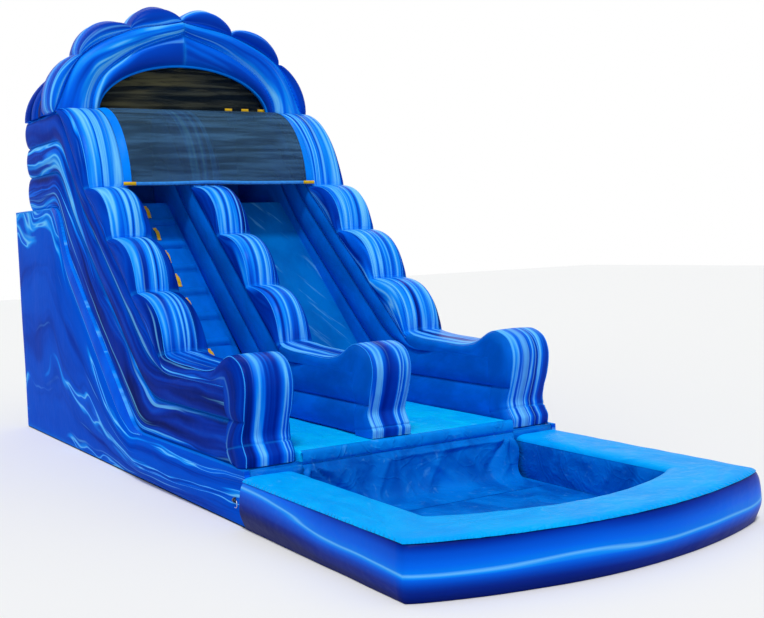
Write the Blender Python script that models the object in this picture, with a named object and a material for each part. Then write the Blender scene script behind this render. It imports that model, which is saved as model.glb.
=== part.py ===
"""Inflatable water slide: a climb lane and a slide lane side by side, running down into a splash pool.

X runs across the slide, Y from the pool up to the tower, Z up. The pieces are written in a frame
whose Y starts at the seam between slide and pool. The empty named slide_origin moves that frame,
so that the whole slide is centred on the world origin and stands on the ground at Z = 0.
"""
import bpy
import bmesh
from math import atan, cos, pi, radians, sin
from mathutils import Vector

for old in list(bpy.data.objects):
    bpy.data.objects.remove(old, do_unlink=True)

# Shared clearance between pieces that touch
CLEARANCE = 0.0003

# Base under the slide
BASE_WIDTH = 3.465
BASE_LENGTH = 7.15
PLATFORM_HEIGHT = 2.965
LANDING_HEIGHT = 0.50
PANEL_THICKNESS = 0.05
SIDE_BULGE = 0.11
REAR_BULGE = 0.12
SHEET_THICKNESS = 0.012
DECK_THICKNESS = 0.05
WEB_THICKNESS = 0.012
WEB_COUNT = 5

# Walls seen from the side: seam line over the base (low) and seam line under the cap (high)
TOWER_REAR = 6.55
TOWER_TOP = 4.12
PLATFORM_EDGE = 5.16
SHOULDER_EDGE = 4.93
KNEE_RUN = 0.30
KNEE_DROP = 0.625
CAP_KNEE = 4.10
CAP_KNEE_HEIGHT = 3.10
SLOPE_FOOT = 2.72
CAP_FOOT = 1.80
LANDING_WALL_TOP = 1.20
PILLAR_DEPTH = 0.36
WALL_WIDTH = 0.558
DIVIDER_WIDTH = 0.446
DIVIDER_SHIFT = -0.1935
DIVIDER_REAR = 5.45
SEAM_INSET = 0.05
BEND_REACH = 0.22

# Scalloped cap on each wall
CAP_START_THICKNESS = 0.04
CREASE_THICKNESS = 0.06
LEAST_STATION_GAP = 0.015
LOBE_COUNT = 3
LANDING_CAP_THICKNESS = 0.12
PILLAR_HEAD_HEIGHT = 0.275
CAP_SIDE_INSET = 0.006

# Lanes
MAT_THICKNESS = 0.10
MAT_FRONT = 0.03
BED_TOP_EDGE = 4.86
BED_FOOT = 2.30
BED_THICKNESS = 0.06
STEP_COUNT = 7
STEP_PITCH = 0.41
STEP_HEIGHT = 0.05
STEP_LENGTH = 0.12
FIRST_STEP_ALONG = 1.08

# Webbing handles
HANDLE_LENGTH = 0.22
HANDLE_WIDTH = 0.045
HANDLE_RISE = 0.045
HANDLE_FOOT = 0.035
WEBBING = 0.006
HANDLE_X = -0.73

# Tower back wall and canopy
BACK_WALL_DEPTH = 0.38
CROWN_FRONT = 5.135
CROWN_DEPTH = 0.40
CROWN_HEIGHT = 1.21
CROWN_SWELL = 0.10
HOOP_COUNT = 3
HOOP_DEPTH = 0.325
HOOP_SWELL = 0.05
HOOP_TOP = 5.12
ARCH_HALF_WIDTH = 1.17
ARCH_RISE = 0.62

# Safety net
NET_THICKNESS = 0.008
NET_INSET_FROM_FRONT = 0.05
HEM_HALF_WIDTH = 1.26
TAPE_WIDTH = 0.04
TAPE_THICKNESS = 0.008
TAG_LENGTH = 0.15
TIE_LENGTH = 0.10
TIE_COUNT = 3
TIE_FIRST = 0.62
TIE_PITCH = 0.24

# Splash pool
POOL_LENGTH = 2.50
POOL_BOW = 0.38
RIM_WIDTH = 0.50
RIM_HEIGHT = 0.437
RIM_SWELL = 0.06
COVER_THICKNESS = 0.006
POOL_FLOOR_THICKNESS = 0.02
APRON_THICKNESS = 0.012
APRON_REACH = 0.45
APRON_SLACK = 0.024

# Fittings
SLEEVE_RADIUS = 0.16
SLEEVE_LENGTH = 0.42
SLEEVE_WALL = 0.006
SLEEVE_HEIGHT = 0.32
SLEEVE_X = 0.95
FLAP_WIDTH = 0.60
FLAP_HEIGHT = 0.22
FLAP_THICKNESS = 0.008
FLAP_X = -0.75
FLAP_BOTTOM = 0.30
LOOP_LENGTH = 0.12
LOOP_WIDTH = 0.04
LOOP_RISE = 0.03
LOOP_Y = 0.19
LOOP_HEIGHT = 0.22
RING_RADIUS = 0.034
RING_WIRE = 0.004

# Places worked out from the sizes above
HALF_WIDTH = BASE_WIDTH / 2
INNER_HALF = HALF_WIDTH - PANEL_THICKNESS - CLEARANCE
LANE_EDGE = HALF_WIDTH - WALL_WIDTH
WALL_CENTRE = HALF_WIDTH - WALL_WIDTH / 2
DIVIDER_LEFT = DIVIDER_SHIFT - DIVIDER_WIDTH / 2
DIVIDER_RIGHT = DIVIDER_SHIFT + DIVIDER_WIDTH / 2
MAT_TOP = LANDING_HEIGHT + MAT_THICKNESS
RING_OFFSET = WEBBING + RING_WIRE * sin(pi / 3) + 2 * CLEARANCE
DECK_FRONT = PLATFORM_EDGE + BEND_REACH
ARCH_SPRING = TOWER_TOP + CLEARANCE
CAP_START = CROWN_FRONT - CROWN_SWELL - CLEARANCE
NET_HALF_WIDTH = ARCH_HALF_WIDTH - NET_THICKNESS
POOL_FRONT = POOL_LENGTH + POOL_BOW + RIM_SWELL

# Shares chosen by hand: seams across the wall chambers, counted from the low line to the high line
OUTER_SEAM_SHARES = ((0, 0.37, 0.70, 1), (0, 0.37, 0.70, 1), (0, 0.50, 0.79, 1),
                     (0, 0.50, 0.79, 1), (0, 0.57, 0.985, 1), (0, 0.57, 0.985, 1))
DIVIDER_SEAM_SHARES = ((0, 0.50, 1), (0, 0.50, 1), (0.36, 0.68, 1),
                       (0.36, 0.68, 1), (0.15, 0.57, 1), (0.15, 0.57, 1))
NEAR_FOOT_SHARE = 0.14
BEND_SHARE = 0.42
NET_END_SHARE = 0.97
LAST_WEB_SHARE = 0.33
HOOP_FLAT_SHARE = 0.5
LEAST_MITRE = 0.5
CAP_SECTION_SHARES = ((0.93, 0), (1, 0.42), (0.80, 0.86), (0.40, 1))
LANDING_CAP_SHARES = ((0.82, 1.22), (0.60, 1.10), (0.35, 1.0), (0.16, 1.5))
PILLAR_SHARES = ((0.95, 1), (0.55, 0.99), (0.20, 0.93), (0.02, 0.82), (0, 0.70), (0.10, 0.55),
                 (0.32, 0.38), (0.45, 0.26), (0.30, 0.17), (0.12, 0.10), (0.16, 0.004))
APRON_SHARES = ((1, 0.72), (0.5, 0.45))
RIM_SECTION_SHARES = ((0, 0, 0), (0, -0.35, 0.45), (0, -0.2, 0.85), (0.14, 0, 1),
                      (0.86, 0, 1), (1, 0.45, 0.85), (1, 1, 0.45), (1, 0.12, 0))
CROWN_VALLEY_SHARES = ((0, 1), (0.40, 0.90), (0.79, 0.587), (1, 0))
CROWN_LOBE_SHARES = (0.165, 0.165, 0.12)
CROWN_SECTION_SHARES = ((0, 0), (0.12, 0.75), (0.30, 1), (0.48, 0.55), (0.66, 1), (0.88, 0.7), (1, 0))

# Powers that shape rounded lines: 1 is a plain arc or sine, more is squarer
SHOULDER_POWER = 2.0
LOBE_POWER = 2.8
CROWN_LOBE_POWER = 0.7
POOL_BOW_POWER = 0.8
SIDE_END_POWER = 0.5

# How finely the round shapes are divided
SHARP_ANGLE = 40
BEND_STEPS = 3
SIDE_STEPS = 4
SHOULDER_STEPS = 7
LOBE_STEPS = 6
RIDGE_STEPS = 4
PANEL_ROWS = 5
REAR_COLUMNS = 8
RIM_STEPS = 12
CROWN_STEPS = 15
HOOP_STEPS = 14
STRAP_STEPS = 8
SLEEVE_STEPS = 16
RING_STEPS = 20
WIRE_STEPS = 6


def principled(name, colour, roughness, metallic=0.0):
    """One plain material with a Principled shader."""
    material = bpy.data.materials.new(name)
    material.use_nodes = True
    shader = material.node_tree.nodes["Principled BSDF"]
    shader.inputs["Base Color"].default_value = (*colour, 1)
    shader.inputs["Roughness"].default_value = roughness
    shader.inputs["Metallic"].default_value = metallic
    material.diffuse_color = (*colour, 1)
    return material


MARBLE = principled("marbled_vinyl", (0.0, 0.10, 0.62), 0.35)
PLAIN_BLUE = principled("plain_blue_vinyl", (0.0, 0.11, 0.50), 0.38)
AZURE = principled("azure_vinyl", (0.0, 0.33, 0.90), 0.33)
GROUND_VINYL = principled("dark_base_vinyl", (0.01, 0.03, 0.12), 0.55)
NET_BLACK = principled("black_net", (0.02, 0.025, 0.035), 0.70)
TAPE_BLUE = principled("light_blue_tape", (0.10, 0.45, 1.0), 0.50)
YELLOW = principled("yellow_webbing", (1.0, 0.62, 0.0), 0.60)
STEEL = principled("plated_steel", (0.70, 0.70, 0.72), 0.25, 1.0)

ORIGIN = bpy.data.objects.new("slide_origin", None)
bpy.context.collection.objects.link(ORIGIN)


def mesh_from(name, points, faces):
    """Closed mesh whose faces point out and whose round parts shade smooth."""
    shape = bmesh.new()
    corners = [shape.verts.new(point) for point in points]
    for face in faces:
        shape.faces.new([corners[index] for index in face])
    bmesh.ops.recalc_face_normals(shape, faces=shape.faces)
    mesh = bpy.data.meshes.new(name)
    shape.to_mesh(mesh)
    shape.free()
    mesh.shade_smooth()
    mesh.set_sharp_from_angle(angle=radians(SHARP_ANGLE))
    return mesh


def place(name, mesh, material, location=(0, 0, 0), rotation=(0, 0, 0), parent=None):
    """Put a mesh into the scene as one named piece."""
    piece = bpy.data.objects.new(name, mesh)
    bpy.context.collection.objects.link(piece)
    piece.parent = parent or ORIGIN
    piece.location = location
    piece.rotation_euler = rotation
    if not mesh.materials:
        mesh.materials.append(material)
    return piece


def loft(name, loops, closed=False):
    """Skin a row of loops that all have the same number of points."""
    count = len(loops[0])
    points = [point for loop in loops for point in loop]
    faces = []
    rows = len(loops) if closed else len(loops) - 1
    for row in range(rows):
        here = row * count
        there = ((row + 1) % len(loops)) * count
        for index in range(count):
            after = (index + 1) % count
            faces.append((here + index, here + after, there + after, there + index))
    if not closed:
        faces.append(tuple(range(count)))
        faces.append(tuple(range(len(points) - count, len(points))))
    return mesh_from(name, points, faces)


def box(name, low, high):
    """Upright box between two corners."""
    loops = [[Vector((x, low[1], low[2])), Vector((x, high[1], low[2])),
              Vector((x, high[1], high[2])), Vector((x, low[1], high[2]))] for x in (low[0], high[0])]
    return loft(name, loops)


def across(name, outline, left, right):
    """Outline of (y, z) points, pulled across the slide from left to right."""
    loops = [[Vector((x, y, z)) for y, z in outline] for x in (left, right)]
    return loft(name, loops)


def mix(first, second, share):
    """Point part of the way from one point to another."""
    return tuple(a + (b - a) * share for a, b in zip(first, second))


def bend_share(corner, neighbour):
    """Share of a straight run that the bend at its corner takes up."""
    return min(BEND_SHARE, BEND_REACH / (Vector(neighbour) - Vector(corner)).length)


def smooth_line(corners):
    """Round each inner corner of a line with a short parabola."""
    line = [corners[0]]
    for before, corner, after in zip(corners, corners[1:], corners[2:]):
        start = mix(corner, before, bend_share(corner, before))
        end = mix(corner, after, bend_share(corner, after))
        for step in range(BEND_STEPS + 1):
            share = step / BEND_STEPS
            line.append(mix(mix(start, corner, share), mix(corner, end, share), share))
    line.append(corners[-1])
    return line


def height_at(line, y):
    """Height of a side-view line at one place along the slide."""
    for (y_high, z_high), (y_low, z_low) in zip(line, line[1:]):
        if y_low <= y <= y_high:
            return z_low + (z_high - z_low) * (y - y_low) / (y_high - y_low)
    return line[0][1] if y > line[0][0] else line[-1][1]


def wall_ribs(rear):
    """Low and high end of each rib that crosses a wall, from the tower to the front."""
    low_knee = (PLATFORM_EDGE - KNEE_RUN, PLATFORM_HEIGHT - KNEE_DROP)
    low_foot = (SLOPE_FOOT, LANDING_HEIGHT)
    high_knee = (CAP_KNEE, CAP_KNEE_HEIGHT)
    high_foot = (CAP_FOOT, LANDING_WALL_TOP)
    return (
        ((rear, PLATFORM_HEIGHT), (rear, TOWER_TOP)),
        ((PLATFORM_EDGE, PLATFORM_HEIGHT), (SHOULDER_EDGE, TOWER_TOP)),
        (low_knee, high_knee),
        (mix(low_foot, low_knee, NEAR_FOOT_SHARE), mix(high_foot, high_knee, NEAR_FOOT_SHARE)),
        (low_foot, high_foot),
        ((PILLAR_DEPTH, LANDING_HEIGHT), (PILLAR_DEPTH, LANDING_WALL_TOP)),
    )


def seam_line(rear, seam_shares, seam, shift):
    """Side-view line of one seam, moved along the ribs by a clearance."""
    corners = []
    for (low, high), shares in zip(wall_ribs(rear), seam_shares):
        reach = (Vector(high) - Vector(low)).length
        corners.append(mix(low, high, shares[seam] + shift / reach))
    return smooth_line(corners)


def chamber(name, low_line, high_line, half_width):
    """Air chamber between two seam lines, with sides that swell between the seams."""
    loops = []
    for low, high in zip(low_line, high_line):
        left, right = [], []
        for step in range(SIDE_STEPS + 1):
            share = step / SIDE_STEPS
            reach = half_width - SEAM_INSET * (1 - sin(pi * share))
            left.append(Vector((-reach, *mix(low, high, share))))
            right.insert(0, Vector((reach, *mix(low, high, share))))
        loops.append(left + right)
    return loft(name, loops)


def quarter(start, end, power, steps):
    """Rounded nose that leaves its start level and meets its end upright."""
    points = []
    for step in range(steps + 1):
        angle = pi / 2 * step / steps
        run = sin(angle) ** (2 / power)
        drop = 1 - cos(angle) ** (2 / power) if step < steps else 1
        points.append((start[0] + (end[0] - start[0]) * run, start[1] + (end[1] - start[1]) * drop))
    return points


def lobe_creases():
    """Low points between the lobes of a cap, spaced evenly down the slope."""
    knee = Vector((CAP_KNEE, CAP_KNEE_HEIGHT))
    foot = Vector((CAP_FOOT, LANDING_WALL_TOP))
    along = (foot - knee).normalized()
    over = Vector((along[1], -along[0]))
    first = knee + over * CREASE_THICKNESS
    last = knee + (foot - knee) * (1 - NEAR_FOOT_SHARE / 2) + over * CREASE_THICKNESS
    return [tuple(first.lerp(last, index / LOBE_COUNT)) for index in range(LOBE_COUNT + 1)]


def cap_top_groups(rear, foot_height):
    """Upper side-view outline of a cap in groups: shoulder, lobes, landing and pillar."""
    creases = lobe_creases()
    start = (CAP_START, TOWER_TOP + CAP_START_THICKNESS)
    groups = [quarter(start, creases[0], SHOULDER_POWER, SHOULDER_STEPS)]
    if rear > CAP_START:
        groups.insert(0, [(rear, start[1]), start])
    for above, below in zip(creases, creases[1:]):
        groups.append(quarter(above, below, LOBE_POWER, LOBE_STEPS))
    landing = [creases[-1]]
    for along_share, thickness_share in LANDING_CAP_SHARES:
        y = PILLAR_DEPTH + (CAP_FOOT - PILLAR_DEPTH) * along_share
        landing.append((y, LANDING_WALL_TOP + LANDING_CAP_THICKNESS * thickness_share))
    groups.append(landing)
    tall = LANDING_WALL_TOP + PILLAR_HEAD_HEIGHT - foot_height
    pillar = [landing[-1]]
    for depth_share, height_share in PILLAR_SHARES:
        pillar.append((PILLAR_DEPTH * depth_share, foot_height + tall * height_share))
    groups.append(pillar)
    return groups


def lengths_along(line):
    """Distance from the start of a line to each of its points."""
    total = [0]
    for first, second in zip(line, line[1:]):
        total.append(total[-1] + (Vector(second) - Vector(first)).length)
    return total


def point_along(line, distances, place_on_line):
    """Point at a given distance along a line."""
    for index in range(len(line) - 1):
        if place_on_line <= distances[index + 1]:
            step = distances[index + 1] - distances[index]
            share = (place_on_line - distances[index]) / step
            return mix(line[index], line[index + 1], max(share, 0))
    return line[-1]


def nearest_along(line, distances, target):
    """Distance along a line to its nearest place to a point."""
    best, found = None, 0
    for index in range(len(line) - 1):
        first, second = Vector(line[index]), Vector(line[index + 1])
        run = second - first
        share = max(0, min(1, (Vector(target) - first).dot(run) / run.length_squared))
        gap = (first + run * share - Vector(target)).length
        if best is None or gap < best:
            best, found = gap, distances[index] + share * run.length
    return found


def cap_stations(rear, seam_shares, top_seam, foot_height):
    """Pairs of lower and upper points along a cap, one pair for each of its cross-sections."""
    under = seam_line(rear, seam_shares, top_seam, CLEARANCE)
    start = (max(CAP_START, rear) if rear < TOWER_REAR else CAP_START, TOWER_TOP + CLEARANCE)
    under = [start] + [point for point in under if point[0] < start[0] - CLEARANCE]
    corner = (PILLAR_DEPTH - CLEARANCE, LANDING_WALL_TOP + CLEARANCE)
    foot = (corner[0], foot_height)
    under[-1] = corner
    under.append(foot)
    reach = lengths_along(under)
    groups = cap_top_groups(rear if rear < TOWER_REAR else CAP_START, foot_height)
    ends = [0]
    for group in groups[:-1]:
        ends.append(nearest_along(under, reach, group[-1]))
    ends.append(reach[-1])
    upper, places = [], []
    for group, first, last in zip(groups, ends, ends[1:]):
        steps = lengths_along(group)
        for index, point in enumerate(group):
            if index or not upper:
                upper.append(point)
                places.append(first + (last - first) * steps[index] / steps[-1])
    bends = reach[1:-1]
    kept = [at for at in places if all(abs(at - bend) > LEAST_STATION_GAP for bend in bends)]
    stations = []
    for at in sorted(kept + bends):
        stations.append((point_along(under, reach, at), point_along(upper, places, at)))
    return stations


def cap(name, stations, half_width):
    """Scalloped cap that runs down a wall and over the front of its pillar."""
    wide = half_width - CAP_SIDE_INSET
    loops = []
    for low, high in stations:
        left, right = [], []
        for width_share, height_share in CAP_SECTION_SHARES:
            point = mix(low, high, height_share)
            left.append(Vector((-wide * width_share, *point)))
            right.insert(0, Vector((wide * width_share, *point)))
        loops.append(left + right)
    return loft(name, loops)


def build_walls():
    """Both outer walls and the divider, each a stack of chambers with a cap."""
    stacks = (
        (("wall_left", -WALL_CENTRE), ("wall_right", WALL_CENTRE), WALL_WIDTH, TOWER_REAR,
         OUTER_SEAM_SHARES, ("lower", "middle", "upper")),
        (("divider", DIVIDER_SHIFT), None, DIVIDER_WIDTH, DIVIDER_REAR,
         DIVIDER_SEAM_SHARES, ("lower", "upper")),
    )
    for first, second, width, rear, seam_shares, levels in stacks:
        sides = [side for side in (first, second) if side]
        for index, level in enumerate(levels):
            low = seam_line(rear, seam_shares, index, CLEARANCE / 2)
            high = seam_line(rear, seam_shares, index + 1, -CLEARANCE / 2)
            if level == "upper" and len(levels) == 3:
                low, high = low[:-1], high[:-1]
            mesh = chamber(first[0] + "_" + level, low, high, width / 2)
            for side, x in sides:
                place(side + "_" + level, mesh, MARBLE, (x, 0, 0))
        foot_height = (LANDING_HEIGHT if len(sides) == 2 else MAT_TOP) + CLEARANCE
        stations = cap_stations(rear, seam_shares, len(levels), foot_height)
        mesh = cap(first[0] + "_cap", stations, width / 2)
        for side, x in sides:
            place(side + "_cap", mesh, MARBLE, (x, 0, 0))


def panel(name, low_line, high_line, bulge, end_power, flat_columns):
    """Swelling skin panel between two lines; the lines hold (along, height) and it swells to +X."""
    outer, inner = [], []
    count = len(low_line)
    for column, (low, high) in enumerate(zip(low_line, high_line)):
        along_share = column / (count - flat_columns)
        ends = sin(pi * along_share) ** end_power if 0 < along_share < 1 else 0
        for row in range(PANEL_ROWS + 1):
            share = row / PANEL_ROWS
            swell = bulge * ends * sin(pi * share)
            along, height = mix(low, high, share)
            outer.append(Vector((swell, along, height)))
            inner.append(Vector((swell - PANEL_THICKNESS, along, height)))
    faces = []
    span = PANEL_ROWS + 1
    offset = len(outer)
    for column in range(count - 1):
        for row in range(PANEL_ROWS):
            first = column * span + row
            faces.append((first, first + 1, first + span + 1, first + span))
            second = offset + first
            faces.append((second, second + 1, second + span + 1, second + span))
        for edge in (column * span, column * span + PANEL_ROWS):
            faces.append((edge, edge + span, offset + edge + span, offset + edge))
    for row in range(PANEL_ROWS):
        for edge in (row, (count - 1) * span + row):
            faces.append((edge, edge + 1, offset + edge + 1, offset + edge))
    return mesh_from(name, outer + inner, faces)


def base_outline():
    """Ground line and seam line of the side panels, from the rear to the front."""
    seam = seam_line(TOWER_REAR, OUTER_SEAM_SHARES, 0, -CLEARANCE / 2)
    rear = (BASE_LENGTH, PLATFORM_HEIGHT - CLEARANCE / 2)
    middle = mix(rear, seam[0], 0.5)
    seam = [rear, middle] + seam[:-1] + [(PILLAR_DEPTH, LANDING_HEIGHT - CLEARANCE / 2),
                                         (0, LANDING_HEIGHT - CLEARANCE / 2)]
    lengths = lengths_along(seam)
    ground = []
    for length in lengths:
        share = length / lengths[-1]
        ground.append((BASE_LENGTH * (1 - share), SHEET_THICKNESS + CLEARANCE))
    return ground, seam


def build_base():
    """Ground sheet, outer panels, decks and inner webs of the base."""
    sheet = box("ground_sheet", (-HALF_WIDTH, 0, 0), (HALF_WIDTH, BASE_LENGTH, SHEET_THICKNESS))
    place("ground_sheet", sheet, GROUND_VINYL)
    ground, seam = base_outline()
    side = panel("base_panel_side", ground, seam, SIDE_BULGE, SIDE_END_POWER, flat_columns=2)
    place("base_panel_right", side, MARBLE, (HALF_WIDTH, 0, 0))
    turned = [(-along, height) for along, height in ground], [(-along, height) for along, height in seam]
    left = panel("base_panel_left", *turned, SIDE_BULGE, SIDE_END_POWER, flat_columns=2)
    place("base_panel_left", left, MARBLE, (-HALF_WIDTH, 0, 0), (0, 0, pi))
    low = SHEET_THICKNESS + CLEARANCE
    shares = [step / REAR_COLUMNS for step in range(REAR_COLUMNS + 1)]
    floor_line = [(INNER_HALF * (2 * share - 1), low) for share in shares]
    top_line = [(along, PLATFORM_HEIGHT - CLEARANCE / 2) for along, height in floor_line]
    rear = panel("base_panel_rear", floor_line, top_line, REAR_BULGE, end_power=0, flat_columns=1)
    place("base_panel_rear", rear, MARBLE, (0, BASE_LENGTH, 0), (0, 0, pi / 2))
    front = box("base_panel_front", (-INNER_HALF, 0, low),
                (INNER_HALF, PANEL_THICKNESS, LANDING_HEIGHT - CLEARANCE / 2))
    place("base_panel_front", front, AZURE)
    deck_rear = BASE_LENGTH - PANEL_THICKNESS - CLEARANCE
    deck_top = PLATFORM_HEIGHT - CLEARANCE / 2
    deck_low = PLATFORM_HEIGHT - DECK_THICKNESS
    deck = box("platform_deck", (-INNER_HALF, DECK_FRONT + CLEARANCE, deck_low),
               (INNER_HALF, deck_rear, deck_top))
    place("platform_deck", deck, AZURE)
    landing_low = LANDING_HEIGHT - DECK_THICKNESS
    landing_top = LANDING_HEIGHT - CLEARANCE / 2
    landing = box("landing_deck", (-INNER_HALF, PANEL_THICKNESS + CLEARANCE, landing_low),
                  (INNER_HALF, SLOPE_FOOT, landing_top))
    place("landing_deck", landing, AZURE)
    mat = box("landing_mat", (-LANE_EDGE + CLEARANCE, MAT_FRONT, LANDING_HEIGHT + CLEARANCE),
              (LANE_EDGE - CLEARANCE, BED_FOOT, MAT_TOP))
    place("landing_mat", mat, AZURE)


def bed_line(lift):
    """Side-view line of a lane bed, lifted square to its slope: platform edge, top edge, foot."""
    top = Vector((BED_TOP_EDGE, PLATFORM_HEIGHT))
    foot = Vector((BED_FOOT, MAT_TOP))
    along = (foot - top).normalized()
    over = Vector((along[1], -along[0]))
    return along, over, top + over * lift, foot + over * lift


def bed_slope():
    """Rise over run of the lane beds."""
    return (PLATFORM_HEIGHT - MAT_TOP) / (BED_TOP_EDGE - BED_FOOT)


def bed_drop():
    """Upright thickness of the sloping beds."""
    return BED_THICKNESS / bed_line(0)[1][1]


def bed_top(ridged):
    """Upper side-view outline of a lane bed; the climb lane has a ridge for each step."""
    along, over, top, foot = bed_line(0)
    upper = [(DECK_FRONT, PLATFORM_HEIGHT - CLEARANCE / 2), tuple(top)]
    for index in reversed(range(STEP_COUNT if ridged else 0)):
        centre = foot - along * (FIRST_STEP_ALONG + STEP_PITCH * index)
        for step in range(RIDGE_STEPS + 1):
            angle = pi * step / RIDGE_STEPS
            point = centre - along * (STEP_LENGTH / 2 * cos(angle)) + over * (STEP_HEIGHT * sin(angle))
            upper.append(tuple(point))
    upper.append((BED_FOOT + CLEARANCE, MAT_TOP))
    return upper


def build_beds():
    """Slide bed and climb bed."""
    deck_low = PLATFORM_HEIGHT - DECK_THICKNESS
    lip_run = (bed_drop() - DECK_THICKNESS) / bed_slope()
    toe = (BED_FOOT + CLEARANCE, MAT_TOP - bed_drop())
    under = [toe, (BED_TOP_EDGE + lip_run, deck_low), (DECK_FRONT, deck_low)]
    for name, ridged, left, right in (("climb_bed", True, -LANE_EDGE, DIVIDER_LEFT),
                                      ("slide_bed", False, DIVIDER_RIGHT, LANE_EDGE)):
        outline = bed_top(ridged) + under
        mesh = across(name, outline, left + CLEARANCE, right - CLEARANCE)
        place(name, mesh, PLAIN_BLUE if ridged else AZURE)


def web_outline(y):
    """Across-view outline of one inner web, stepped to carry walls, beds and divider."""
    front, back = y - WEB_THICKNESS / 2, y + WEB_THICKNESS / 2
    seam = base_outline()[1]
    wall_top = min(height_at(seam, front), height_at(seam, back))
    divider_line = seam_line(DIVIDER_REAR, DIVIDER_SEAM_SHARES, 0, -CLEARANCE / 2)
    low_deck = PLATFORM_HEIGHT - DECK_THICKNESS
    bed_under = MAT_TOP + (front - BED_FOOT) * bed_slope() - bed_drop()
    if front > DECK_FRONT:
        lane = divider = wall = low_deck - CLEARANCE
    elif back < SLOPE_FOOT:
        lane = divider = wall = LANDING_HEIGHT - DECK_THICKNESS - CLEARANCE
    else:
        lane = min(bed_under, low_deck) - CLEARANCE
        divider = min(height_at(divider_line, front), height_at(divider_line, back)) - CLEARANCE
        wall = wall_top - CLEARANCE
    low = SHEET_THICKNESS + CLEARANCE
    edge = LANE_EDGE - CLEARANCE
    left, right = DIVIDER_LEFT + CLEARANCE, DIVIDER_RIGHT - CLEARANCE
    return [(-INNER_HALF, low), (INNER_HALF, low), (INNER_HALF, wall), (edge, wall), (edge, lane),
            (right, lane), (right, divider), (left, divider), (left, lane), (-edge, lane),
            (-edge, wall), (-INNER_HALF, wall)]


def build_webs():
    """Inner webs that hold the base in shape."""
    first = BED_FOOT / 2
    last = BASE_LENGTH - (BASE_LENGTH - PLATFORM_EDGE) * LAST_WEB_SHARE
    for index in range(WEB_COUNT):
        y = first + (last - first) * index / (WEB_COUNT - 1)
        outline = web_outline(y)
        clean = [point for point, after in zip(outline, outline[1:] + outline[:1]) if point != after]
        loops = [[Vector((x, along, z)) for x, z in clean]
                 for along in (y - WEB_THICKNESS / 2, y + WEB_THICKNESS / 2)]
        place("inner_web_%d" % (index + 1), loft("inner_web_%d" % (index + 1), loops), GROUND_VINYL)


def strap_loop(length, width, rise, foot, thickness):
    """Webbing handle: two sewn feet with an arched grip between them, lying along Y."""
    half = length / 2
    grip = half - foot
    upper, lower = [(-half, thickness), (-grip, thickness)], [(-half, 0), (-grip + thickness / 2, 0)]
    for step in range(1, STRAP_STEPS):
        angle = pi * step / STRAP_STEPS
        upper.append((-grip * cos(angle), thickness + rise * sin(angle)))
        lower.append((-(grip - thickness / 2) * cos(angle), rise * sin(angle)))
    upper += [(grip, thickness), (half, thickness)]
    lower += [(grip - thickness / 2, 0), (half, 0)]
    loops = [[Vector((-width / 2, *low)), Vector((width / 2, *low)),
              Vector((width / 2, *high)), Vector((-width / 2, *high))] for low, high in zip(lower, upper)]
    return loft("webbing_handle", loops)


def build_climb_handles():
    """Webbing handles between the steps of the climb lane."""
    mesh = strap_loop(HANDLE_LENGTH, HANDLE_WIDTH, HANDLE_RISE, HANDLE_FOOT, WEBBING)
    along, over, top, foot = bed_line(CLEARANCE)
    angle = Vector((1, 0)).angle_signed(-along) * -1
    for index in range(STEP_COUNT):
        spot = foot - along * (FIRST_STEP_ALONG + STEP_PITCH * (index - 0.5))
        place("climb_handle_%d" % (index + 1), mesh, YELLOW, (HANDLE_X, *spot), (angle, 0, 0))


def build_back_wall():
    """Three level chambers that close the back of the tower above the platform."""
    levels = OUTER_SEAM_SHARES[0]
    front = TOWER_REAR - BACK_WALL_DEPTH
    tall = TOWER_TOP - PLATFORM_HEIGHT
    for index, level in enumerate(("lower", "middle", "upper")):
        low = PLATFORM_HEIGHT + tall * levels[index] + CLEARANCE / 2
        high = PLATFORM_HEIGHT + tall * levels[index + 1] - CLEARANCE / 2
        outline = []
        for side in (1, -1):
            for step in range(SIDE_STEPS + 1):
                share = step / SIDE_STEPS
                inset = SEAM_INSET * (1 - sin(pi * share))
                y = TOWER_REAR - inset if side > 0 else front + inset
                outline.append((y, low + (high - low) * (share if side > 0 else 1 - share)))
        name = "back_wall_" + level
        place(name, across(name, outline, -LANE_EDGE + CLEARANCE, LANE_EDGE - CLEARANCE), MARBLE)


def arch_point(angle, grow=0):
    """Point (x, z) on the arch opening, from its left foot over the top."""
    width = ARCH_HALF_WIDTH + grow
    return (-width * cos(angle), ARCH_SPRING + (ARCH_RISE + grow) * sin(angle))


def crown_edge(share):
    """Point (x, z) on the crown's scalloped outline, from the middle (0) out to its left foot (1)."""
    lobe = min(int(share * LOBE_COUNT), LOBE_COUNT - 1)
    within = share * LOBE_COUNT - lobe
    start = Vector(CROWN_VALLEY_SHARES[lobe])
    end = Vector(CROWN_VALLEY_SHARES[lobe + 1])
    start = Vector((-start[0] * HALF_WIDTH, TOWER_TOP + CLEARANCE + start[1] * CROWN_HEIGHT))
    end = Vector((-end[0] * HALF_WIDTH, TOWER_TOP + CLEARANCE + end[1] * CROWN_HEIGHT))
    chord = end - start
    outward = Vector((chord[1], -chord[0])).normalized()
    height = CROWN_LOBE_SHARES[lobe] * CROWN_HEIGHT
    return start + chord * within + outward * (height * sin(pi * within) ** CROWN_LOBE_POWER)


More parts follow.
